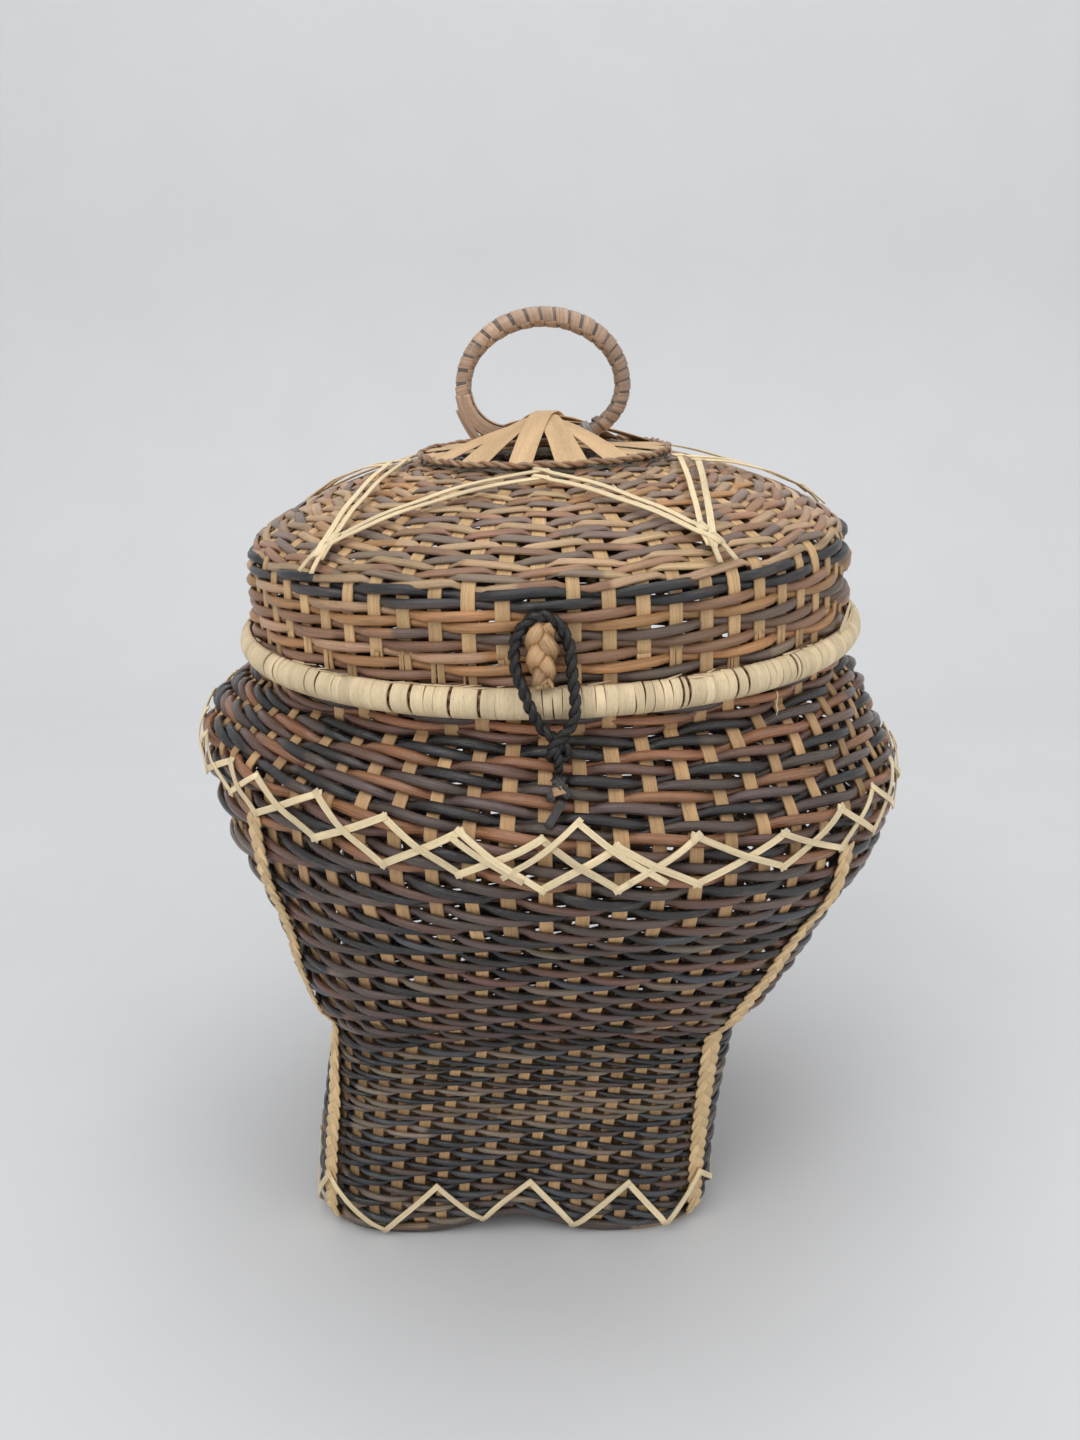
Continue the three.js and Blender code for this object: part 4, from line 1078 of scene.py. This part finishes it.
def wind_ring():
    bundle = Bundle()
    wind_turns(bundle)
    fray_ring(bundle)
    bundle.build("ring_binding", binding, "lid", "pale_cane", "lid_rim_binding", seat=True)
    core = Bundle()
    angle = full_turn(240)
    for number in range(CORE_PLIES):
        points, normals = around_ring(angle, TAU * number / CORE_PLIES + 0.4 + angle, CORE_RADIUS)
        core.add(points, normals, 2.15, 2.1, spliced(240, CORE_TONES[0], CORE_TONES[1:], (20, 80)))
    core.build("ring_core", weaver, "lid", "dark_cane", "lid_rim_core", seat=True)


# The stars on the dome: their corners' angles from the front, and each star's node, its name, how far
# out its tips and its valleys lie, and its half width
STAR_TIPS = np.radians([-44.2, 30.1, 102, 174, 245.5])
STAR_VALLEYS = np.radians([-1.7, 66.5, 138, 209.7, 280.6])
STARS = (
    ("star_strip_1", "star_inner", (130.8, 125.3, 128, 127, 129), (67.1, 68, 67, 68, 67), 1.35),
    ("star_strip_2", "star_outer", (137.4, 133.2, 135, 134, 136), (76.6, 77, 76, 77, 76), 1.5),
)
STAR_THICK = 0.34
STAR_SAMPLES = 30
TAIL_SAMPLES = 8
TAIL_TO = 146.5


def lay_stars():
    for node, name, tips, valleys, half in STARS:
        bundle = Bundle()
        corners = []
        for tip, far, valley, near in zip(STAR_TIPS, tips, STAR_VALLEYS, valleys):
            corners.append(polar(far, FRONT + tip, 0.0)[:2])
            corners.append(polar(near, FRONT + valley, 0.0)[:2])
        corners.append(corners[0])
        for number, (start, stop) in enumerate(zip(corners[:-1], corners[1:])):
            share = np.linspace(-0.05, 1.04, STAR_SAMPLES)
            place = start + (stop - start) * share[:, None]
            ends = np.abs(share - 0.5) > 0.46
            lift = 0.75 + 0.55 * (number % 2) * ends + 0.35 * (name == "star_outer")
            points, normals = above_dome(np.arctan2(place[:, 1], place[:, 0]), np.hypot(*place.T), lift)
            tone = mottled(PALE, 0.95, 1.06, STAR_SAMPLES, 0.03, 6)
            bundle.add(points, normals, half * rng.uniform(0.92, 1.08), STAR_THICK, tone, FLAT)
        for tip, far in zip(STAR_TIPS, tips):
            for way in (-0.006, 0.012):
                radius = np.linspace(far - 3, min(far + 10, TAIL_TO), TAIL_SAMPLES)
                angle = FRONT + tip + way + np.linspace(0, 0.02, TAIL_SAMPLES) * np.sign(way)
                points, normals = above_dome(angle, radius, np.linspace(1.5, 0.4, TAIL_SAMPLES))
                bundle.add(points, normals, half * 0.8, STAR_THICK, PALE * rng.uniform(0.8, 0.95), FLAT)
        bundle.build(name, pale, "lid", "pale_cane", node, seat=True)


# The crown: straps crossing over a woven dish, tied by a twined cord. Turns in degrees from the front
STRAP_TAN = shade(210, 176, 134)
DISH_TONES = [shade(112, 104, 86), shade(88, 84, 72), shade(134, 114, 88)]
CROWN_TURN = -11
STRAPS_OVER = (-45, 45, -22.5, 22.5, 0)
STRAPS_UNDER = (90, 67.5, -67.5)
STRAP_PITCH = 1.1
OVER_STRAP_Z = 100.8
UNDER_STRAP_Z = 91.6
STRAP_END = 60
STRAP_BEND = 1.4
STRAP_FLAT = 6
STRAP_THICK = 0.27
STRAP_SAMPLES = 55
# Half width at the middle and its growth to the ends, of the top strap and of the others
TOP_STRAP = (5.0, 0.15)
OTHER_STRAP = (4.7, 0.55)


def strap_height(top, distance):
    edge = float(dome_height(STRAP_END)) + 0.5
    share = np.maximum(0, distance - STRAP_FLAT) / (STRAP_END - STRAP_FLAT)
    return edge + (top - edge) * (1 - np.minimum(share, 1) ** STRAP_BEND)


def lay_straps():
    layers = [(turn, OVER_STRAP_Z + i * STRAP_PITCH) for i, turn in enumerate(STRAPS_OVER)]
    layers += [(turn, UNDER_STRAP_Z - i * STRAP_PITCH) for i, turn in enumerate(STRAPS_UNDER)]
    at = np.linspace(-STRAP_END, STRAP_END, STRAP_SAMPLES)
    for number, (turn, top) in enumerate(layers, start=1):
        bundle = Bundle()
        way = polar(1.0, FRONT + np.radians(CROWN_TURN + turn), 0.0)
        sideways = np.cross(UP, way)
        height = strap_height(top, np.abs(at)) + STRAP_THICK + 0.01
        points = way * at[:, None] + UP * height[:, None]
        points = points + sideways * (0.25 * drift(STRAP_SAMPLES, 1, 14))[:, None]
        normals = unit(np.cross(tangents(points), sideways))
        normals = normals * np.sign(normals[:, 2:])
        middle, growth = OTHER_STRAP if turn else TOP_STRAP
        half = middle * (1 + growth * np.abs(at) / STRAP_END + 0.04 * drift(STRAP_SAMPLES, 1, 12))
        tone = mottled(STRAP_TAN, 0.93, 1.05, STRAP_SAMPLES, 0.03, 8)
        bundle.add(points, normals, half, STRAP_THICK, tone, FLAT)
        node = f"crown_strap_{number}"
        bundle.build(f"crown_ribbon_{number}", crown_cane, "lid", "tan_cane", node, seat=True)


DISH_RADIUS = 47.0
DISH_SINK = 2.6
DISH_TURNS = 19
DISH_SAMPLES = 72
DISH_FROM = 4.5
DISH_WIDTH = 54.3
SPOKES = 24
CORD_RADIUS = 60.0
CORD_WAVES = 16


def dish_height(radius):
    """The dark weave under the straps, sunk at its middle."""
    sunk = np.interp(radius, [40, DISH_RADIUS], [DISH_Z - 1.2, float(dome_height(DISH_RADIUS)) - DISH_SINK])
    return np.where(radius < DISH_RADIUS, sunk, dome_height(np.maximum(radius, DISH_RADIUS)) - DISH_SINK)


def weave_dish():
    """One strand that spirals out, over and under spokes by turns."""
    bundle = Bundle()
    count = DISH_TURNS * DISH_SAMPLES
    angle = TAU * np.arange(count) / DISH_SAMPLES
    radius = DISH_FROM + DISH_WIDTH * angle / angle[-1]
    z = dish_height(radius) + np.cos(SPOKES / 2 * angle + np.pi * (angle // TAU))
    tint = spliced(count, DISH_TONES[0], DISH_TONES, (20, 90))
    bundle.add(polar(radius, angle, z), UP, 1.75, 1.2, tint, SIX)
    reach = np.linspace(2, 60, 22)
    for turn in full_turn(SPOKES):
        tone = DISH_TONES[2] * rng.uniform(0.8, 1.1)
        bundle.add(polar(reach, turn, dish_height(reach)), UP, 2.0, 0.5, tone, SPLIT)
    bundle.build("crown_dish", weaver, "lid", "lid_weave", seat=True)
    cord = Bundle()
    turn = full_turn(520)
    reach = CORD_RADIUS + 0.4 * np.sin(CORD_WAVES * turn)
    centre = polar(reach, turn, dome_height(reach) + 0.9 + 0.3 * np.cos(CORD_WAVES * turn))
    twine(cord, centre, UP, 0.95, 0.75, 13.0, [LID_SAND * 0.85, LID_BROWN])
    cord.build("crown_cord", lid_weaver, "lid", "lid_weave", seat=True)


# The ring handle. Shares of its length start at its right and run over the top
HANDLE_DARK = shade(112, 98, 88)
HANDLE_TAN = shade(186, 154, 128)
HANDLE_GREY = shade(140, 134, 128)
HANDLE_HALF = 38.0
HANDLE_WIDEST_Z = 117.5
HANDLE_RISE = 32.0
HANDLE_BEND = 21.5
HANDLE_STEP = 0.5
WIND_FROM = -0.128
WIND_TO = 0.548
WIND_SAMPLES = 26
BARE_FROM = 0.535
BARE_TO = 0.665
# The flat strips along that stretch without turns: turn round the handle and half width
BARE_STRIPS = ((-1.45, 3.3), (0.3, 2.6), (1.7, 3.2), (3.1, 2.6))
# The loose ends that hang at the left: points down each and its half width
HANDLE_ENDS = (
    (((-41.2, -0.6, 108), (-38.6, -1.0, 102), (-35.0, -1.2, 95.5), (-31.6, -1.4, 90.6)), 1.3),
    (((-40.6, -2.6, 110), (-37.4, -3.2, 103), (-33.0, -3.6, 96.5), (-29.5, -3.8, 92.5)), 1.0),
)


def handle_points():
    """The middle line of the handle: an arch over two bends and a flat run."""
    over = np.linspace(0, np.pi, 240, endpoint=False)
    down = np.linspace(0, np.pi / 2, 60, endpoint=False)
    flat, floor_z = HANDLE_HALF - HANDLE_BEND, HANDLE_WIDEST_Z - HANDLE_BEND
    arch = np.stack([HANDLE_HALF * np.cos(over), HANDLE_WIDEST_Z + HANDLE_RISE * np.sin(over)], -1)
    left = np.stack([-flat - HANDLE_BEND * np.cos(down), HANDLE_WIDEST_Z - HANDLE_BEND * np.sin(down)], -1)
    floor = np.stack([np.linspace(-flat, flat, 60, endpoint=False), np.full(60, floor_z)], -1)
    right = np.stack([flat + HANDLE_BEND * np.sin(down), HANDLE_WIDEST_Z - HANDLE_BEND * np.cos(down)], -1)
    line = np.concatenate([arch, left, floor, right])
    return np.stack([line[:, 0], 0 * line[:, 0], line[:, 1]], -1)


HANDLE_LINE = resampled(handle_points(), HANDLE_STEP)
HANDLE_LENGTH = HANDLE_STEP * len(HANDLE_LINE)


def on_handle(share, turn, radius):
    """A point of the handle's surface by its share of the length."""
    share, turn, radius = np.broadcast_arrays(share, turn, radius)
    place = np.mod(share, 1) * len(HANDLE_LINE)
    index = np.arange(len(HANDLE_LINE) + 1)
    centre = between(place, index, looped(HANDLE_LINE))
    tangent = unit(between(place, index, looped(tangents(HANDLE_LINE, closed=True))))
    out = np.stack([tangent[:, 2], 0 * place, -tangent[:, 0]], -1)
    normals = out * np.cos(turn)[:, None]
    normals[:, 1] += np.sin(turn)
    return centre + normals * radius[:, None], normals


def handle_radius(share):
    """The handle is thickest on top."""
    top = smoothstep(np.sin(TAU * np.mod(share, 1)), 0.05, 0.95)
    return 3.0 + 0.85 * top


def handle_core():
    core = Bundle()
    count = len(HANDLE_LINE)
    thick = handle_radius(np.arange(count) / count)
    tint = spliced(count, HANDLE_DARK, [HANDLE_DARK * 0.8, HANDLE_DARK * 1.15], (30, 90))
    core.add(HANDLE_LINE, -AHEAD, thick, thick, tint, ring_section(12), closed=True)
    core.build("handle_inside", polished, "lid", "handle_cane", "handle_core", seat=True)


def handle_turns(bundle):
    """The winding: wide turns, with the dark of the core between them and painted shade on their inner
    side. The low turns at the right are narrower and darker."""
    turn = np.linspace(-0.7 * np.pi, 1.36 * np.pi, WIND_SAMPLES)
    inside = 1 - 0.09 * np.cos(turn + np.pi)
    # Painted shade: each turn is darker on its inner side, facing the inside of the handle's loop
    inner_painted_shade = 1 - 0.28 * smoothstep(np.cos(turn + np.pi), 0.2, 1.0)
    at, number = WIND_FROM, 0
    while at < WIND_TO:
        low_right = at < 0.1
        wide = rng.uniform(4.4, 5.6) if low_right else rng.uniform(5.6, 7.2)
        pitch = wide / HANDLE_LENGTH
        middle = at + pitch / 2 + 0.8 * pitch * (turn / TAU)
        radius = handle_radius(middle) + 0.45 + 0.1 * (number % 2)
        points, normals = on_handle(middle, turn, radius)
        half = rng.uniform(0.7, 0.86) * wide / 2 * inside
        base = HANDLE_TAN * (0.72 if low_right else 1.0)
        tone = mottled(base, 0.84, 1.05, WIND_SAMPLES, 0.05, 5) * inner_painted_shade[:, None]
        bundle.add(points, normals, half, 0.42, tone, FLAT)
        points, normals = on_handle(middle + pitch / 2, turn, radius - 0.14)
        bundle.add(points, normals, 0.16 * wide, 0.3, HANDLE_DARK * rng.uniform(0.8, 1.1), FLAT)
        at += pitch
        number += 1


def wind_handle():
    handle_core()
    bundle = Bundle()
    handle_turns(bundle)
    share = np.linspace(BARE_FROM, BARE_TO, WIND_SAMPLES)
    for turn, half in BARE_STRIPS:
        points, normals = on_handle(share, turn, handle_radius(share) + 0.5)
        bundle.add(points, normals, half, 0.35, HANDLE_TAN * rng.uniform(0.95, 1.08), FLAT)
    turn = np.linspace(-0.9 * np.pi, 0.9 * np.pi, 22)
    bundle.add(*on_handle(WIND_FROM + 0.006 * turn, turn, 4.3), 1.7, 0.5, HANDLE_GREY, FLAT)
    bundle.build("handle_winding", polished, "lid", "handle_cane", "handle_wrap", seat=True)
    tail = Bundle()
    for line, half in HANDLE_ENDS:
        tail.add(fine_line(line, 6), AHEAD, half, 0.35, HANDLE_TAN * rng.uniform(0.85, 1.0), FLAT)
    tail.build("handle_ends", polished, "lid", "handle_cane", "handle_tail_strip", seat=True)


# The latch: an eye and ends on the body, a cord loop, and a plaited toggle
CORD_BLACK = shade(21, 18, 17)
CORD_TONES = [CORD_BLACK, CORD_BLACK * 1.4]
CORD_GREY = shade(52, 47, 46)
EYE_CENTRE = np.array([1.2155, -158.526, -14.576])
EYE_RADIUS = 4.6
# The loop from the eye up: half its width, how far its middle has moved left, depth and height
LOOP_ROWS = (
    (-3.2, 0, -159.0, -13.2), (-1.6, 0.05, -160.6, -9.0), (5.6, 0.2, -156.8, -2.6), (8.6, 0.3, -157.0, 4.5),
    (9.9, 0.6, -155.6, 12.5), (10.9, 0.9, -153.6, 20.5), (10.4, 1, -151.8, 30.5), (6.2, 1, -152.0, 38.2),
)
LOOP_TOP = (-4, -152.2, 41.2)
TOGGLE_TAN = shade(196, 156, 112)
# Each knot end's strips, as x and height at their ends and their colour
LATCH_ENDS = {
    "latch_tail_1": (((3.6, 267), (-2.6, 258.5), CORD_GREY), ((-0.4, 266), (5.6, 259.5), CORD_GREY)),
    "latch_tail_2": (((3.2, 258.8), (-3.4, 249.5), CORD_GREY),
                     ((5.2, 262.5), (-0.8, 261.2), TOGGLE_TAN * 0.8)),
}
TOGGLE_X = -4.0
TOGGLE_Y = -152.6
TOGGLE_TOP = 38.2
TOGGLE_LOW = 14.5
TOGGLE_SAMPLES = 60
TUFT = 14


def tie_loop():
    right, left = [], []
    for number, (half, share, y, z) in enumerate(LOOP_ROWS):
        middle = 1.5 - 5.5 * share
        apart = 1.1 * (number in (0, 1, 2))
        right.append((middle + half, y - apart, z))
        left.append((middle - half, y + 0.6 * apart, z))
    points = [tuple(EYE_CENTRE + np.array([0, -0.6, 0.2])), *right, LOOP_TOP, *left[::-1]]
    centre = resampled(closed_line(points), 0.8)
    way = tangents(centre, closed=True)
    normals = unit(np.cross(np.cross(way, (0, -1.0, 0.3)), way))
    bundle = Bundle()
    twine(bundle, centre, normals, 1.62, 1.0, 11.0, CORD_TONES)
    bundle.build("latch_cord", cord_skin, "latch", "dark_cord", "latch_loop", seat=True)


def tie_eye():
    bundle = Bundle()
    turn = full_turn(60)
    ring = np.stack([0 * turn, np.cos(turn), np.sin(turn)], -1)
    twine(bundle, EYE_CENTRE + EYE_RADIUS * ring, ring, 1.2, 0.8, 8.0, CORD_TONES)
    bundle.build("latch_eye_cord", cord_skin, "basket", "dark_cord", "latch_eye", seat=True)
    share = np.linspace(0, 1, 9)
    for node, strips in LATCH_ENDS.items():
        bundle = Bundle()
        for number, (start, stop, tint) in enumerate(strips):
            x = start[0] + (stop[0] - start[0]) * share + 0.5 * np.sin(3 * share)
            height = start[1] + (stop[1] - start[1]) * share
            angle = FRONT + np.arcsin(x / half_width(height))
            points, normals = above_body(angle, height, 1.5 + 0.8 * number + 0.7 * np.sin(np.pi * share))
            bundle.add(points, normals, 1.75, 0.4, tint, FLAT)
        bundle.build(node.replace("tail", "end"), cord_skin, "basket", "dark_cord", node)


def plait_toggle():
    """A plait of three, with a tuft of fine ends under it."""
    bundle = Bundle()
    z = np.linspace(TOGGLE_TOP, TOGGLE_LOW, TOGGLE_SAMPLES)
    share = (TOGGLE_TOP - z) / (TOGGLE_TOP - TOGGLE_LOW)
    shape = np.interp(share, [0, 0.12, 0.45, 0.8, 1], [0.55, 0.85, 1.0, 0.8, 0.62])
    centre = np.stack(np.broadcast_arrays(TOGGLE_X, TOGGLE_Y, z), -1)
    tones = [TOGGLE_TAN, TOGGLE_TAN * 0.88, TOGGLE_TAN * 1.06]
    plait(bundle, centre, AHEAD, 3.6 * shape, 27.0, 3.5 * shape, 1.7 * shape, 2.3, tones, SIX)
    for _ in range(TUFT):
        spread = rng.uniform(-1, 1, 2)
        x = TOGGLE_X + spread[0] * np.linspace(2.6, 4.6, 5)
        y = TOGGLE_Y + spread[1] * np.linspace(1.6, 2.6, 5)
        line = np.stack([x, y, np.linspace(16.5, rng.uniform(11.5, 13.6), 5)], -1)
        half = rng.uniform(0.4, 0.9)
        bundle.add(line, AHEAD, half, 0.25, TOGGLE_TAN * rng.uniform(0.75, 1.0), FLAT)
    bundle.build("toggle_plait", polished, "lid", "toggle_braid", "latch_toggle", seat=True)


def finish_hinges():
    """The cane eyes and staples of the hinge keep their modelled shape."""
    make = Nodes("hinge_cane")
    place = make.place()
    lines = make.noise(make.stretch(place, 900, 900, 160), 4.0, 0.6)
    tone = make.noise(make.stretch(place, 60, 60, 60), 3.0)
    light = make.times(make.remap(lines, 0.78, 1.16), make.remap(tone, 0.82, 1.14))
    make.bump(lines, 0.25)
    cane = make.finish(make.scaled(make.constant(RIM_TAN), light), make.remap(lines, 0.4, 0.65))
    for node in ("hinge_eye_1", "hinge_eye_2", "hinge_bar_1", "hinge_bar_2"):
        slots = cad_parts[node].data.materials
        slots.clear()
        slots.append(cane)


# The order counts, as all draw from one random source
for work in (
    weave_body, body_stakes, lay_lattice, lay_braids, lay_zigzag, weave_mouth, weave_collar, weave_bottom,
    weave_skirt, weave_dome, lid_stakes, wind_ring, lay_stars, weave_dish, lay_straps, wind_handle,
    tie_loop, tie_eye, plait_toggle, finish_hinges,
):
    work()

# Camera and studio, in metres. The lens and its place come from a camera fit to the photograph
LENS = 32.5
SENSOR = 36
CAMERA_PLACE = (-0.0055, -0.6415, 0.448)
CAMERA_PITCH = np.radians(90 - 18.0)
CAMERA_ROLL = np.radians(-0.65)
FLOOR_HALF = 4.0
FLOOR_NEAR = -3.0
FLOOR_FAR = 0.75
WALL_BEND = 0.5
WALL_TOP = 3.0
BEND_STEPS = 16
LAMP_TARGET = np.array([0, 0, 0.2])
# Name, place, size and power of each lamp
LAMPS = (
    ("key", (-0.9, -1.3, 1.9), 1.4, 15),
    ("fill", (1.5, -1.0, 1.2), 1.6, 7),
    ("top", (0.1, 0.2, 2.2), 1.5, 10),
)


def set_camera():
    data = bpy.data.cameras.new("camera")
    data.lens = LENS
    data.sensor_width = SENSOR
    camera = placed("camera", data)
    turn = Matrix.Rotation(CAMERA_PITCH, 4, "X") @ Matrix.Rotation(CAMERA_ROLL, 4, "Z")
    camera.matrix_world = Matrix.Translation(CAMERA_PLACE) @ turn
    bpy.context.scene.camera = camera


def floor_material():
    make = Nodes("pale_floor")
    light = make.remap(make.noise(make.place(), 4.0, scale=9.0), 0.985, 1.01)
    return make.finish(make.scaled(make.constant(shade(220, 221, 222)), light), 0.7)


def set_floor():
    """A pale floor that curves up into a backdrop."""
    line = [(FLOOR_NEAR, 0.0), (FLOOR_FAR, 0.0)]
    for step in range(1, BEND_STEPS + 1):
        turn = np.pi / 2 * step / BEND_STEPS
        line.append((FLOOR_FAR + WALL_BEND * np.sin(turn), WALL_BEND * (1 - np.cos(turn))))
    line.append((FLOOR_FAR + WALL_BEND, WALL_TOP))
    points = [(x, y, z) for y, z in line for x in (-FLOOR_HALF, FLOOR_HALF)]
    faces = [(2 * i, 2 * i + 1, 2 * i + 3, 2 * i + 2) for i in range(len(line) - 1)]
    mesh = bpy.data.meshes.new("floor")
    mesh.from_pydata(points, [], faces)
    mesh.polygons.foreach_set("use_smooth", np.ones(len(faces), bool))
    mesh.materials.append(floor_material())
    placed("floor", mesh)


def set_lights():
    world = bpy.data.worlds.new("studio")
    bpy.context.scene.world = world
    world.use_nodes = True
    back = world.node_tree.nodes["Background"]
    back.inputs["Color"].default_value = (0.97, 0.98, 1.0, 1)
    back.inputs["Strength"].default_value = 0.62
    for name, place, size, power in LAMPS:  # each faces LAMP_TARGET
        data = bpy.data.lights.new(name, "AREA")
        data.size = size
        data.energy = power
        z = unit(np.array(place) - LAMP_TARGET)
        x = unit(np.cross(UP, z))
        axes = np.stack([x, np.cross(z, x), z, place], -1)
        placed(name, data).matrix_world = Matrix([*axes.tolist(), (0, 0, 0, 1)])


set_camera()
set_floor()
set_lights()
bpy.context.scene.view_settings.view_transform = "Standard"
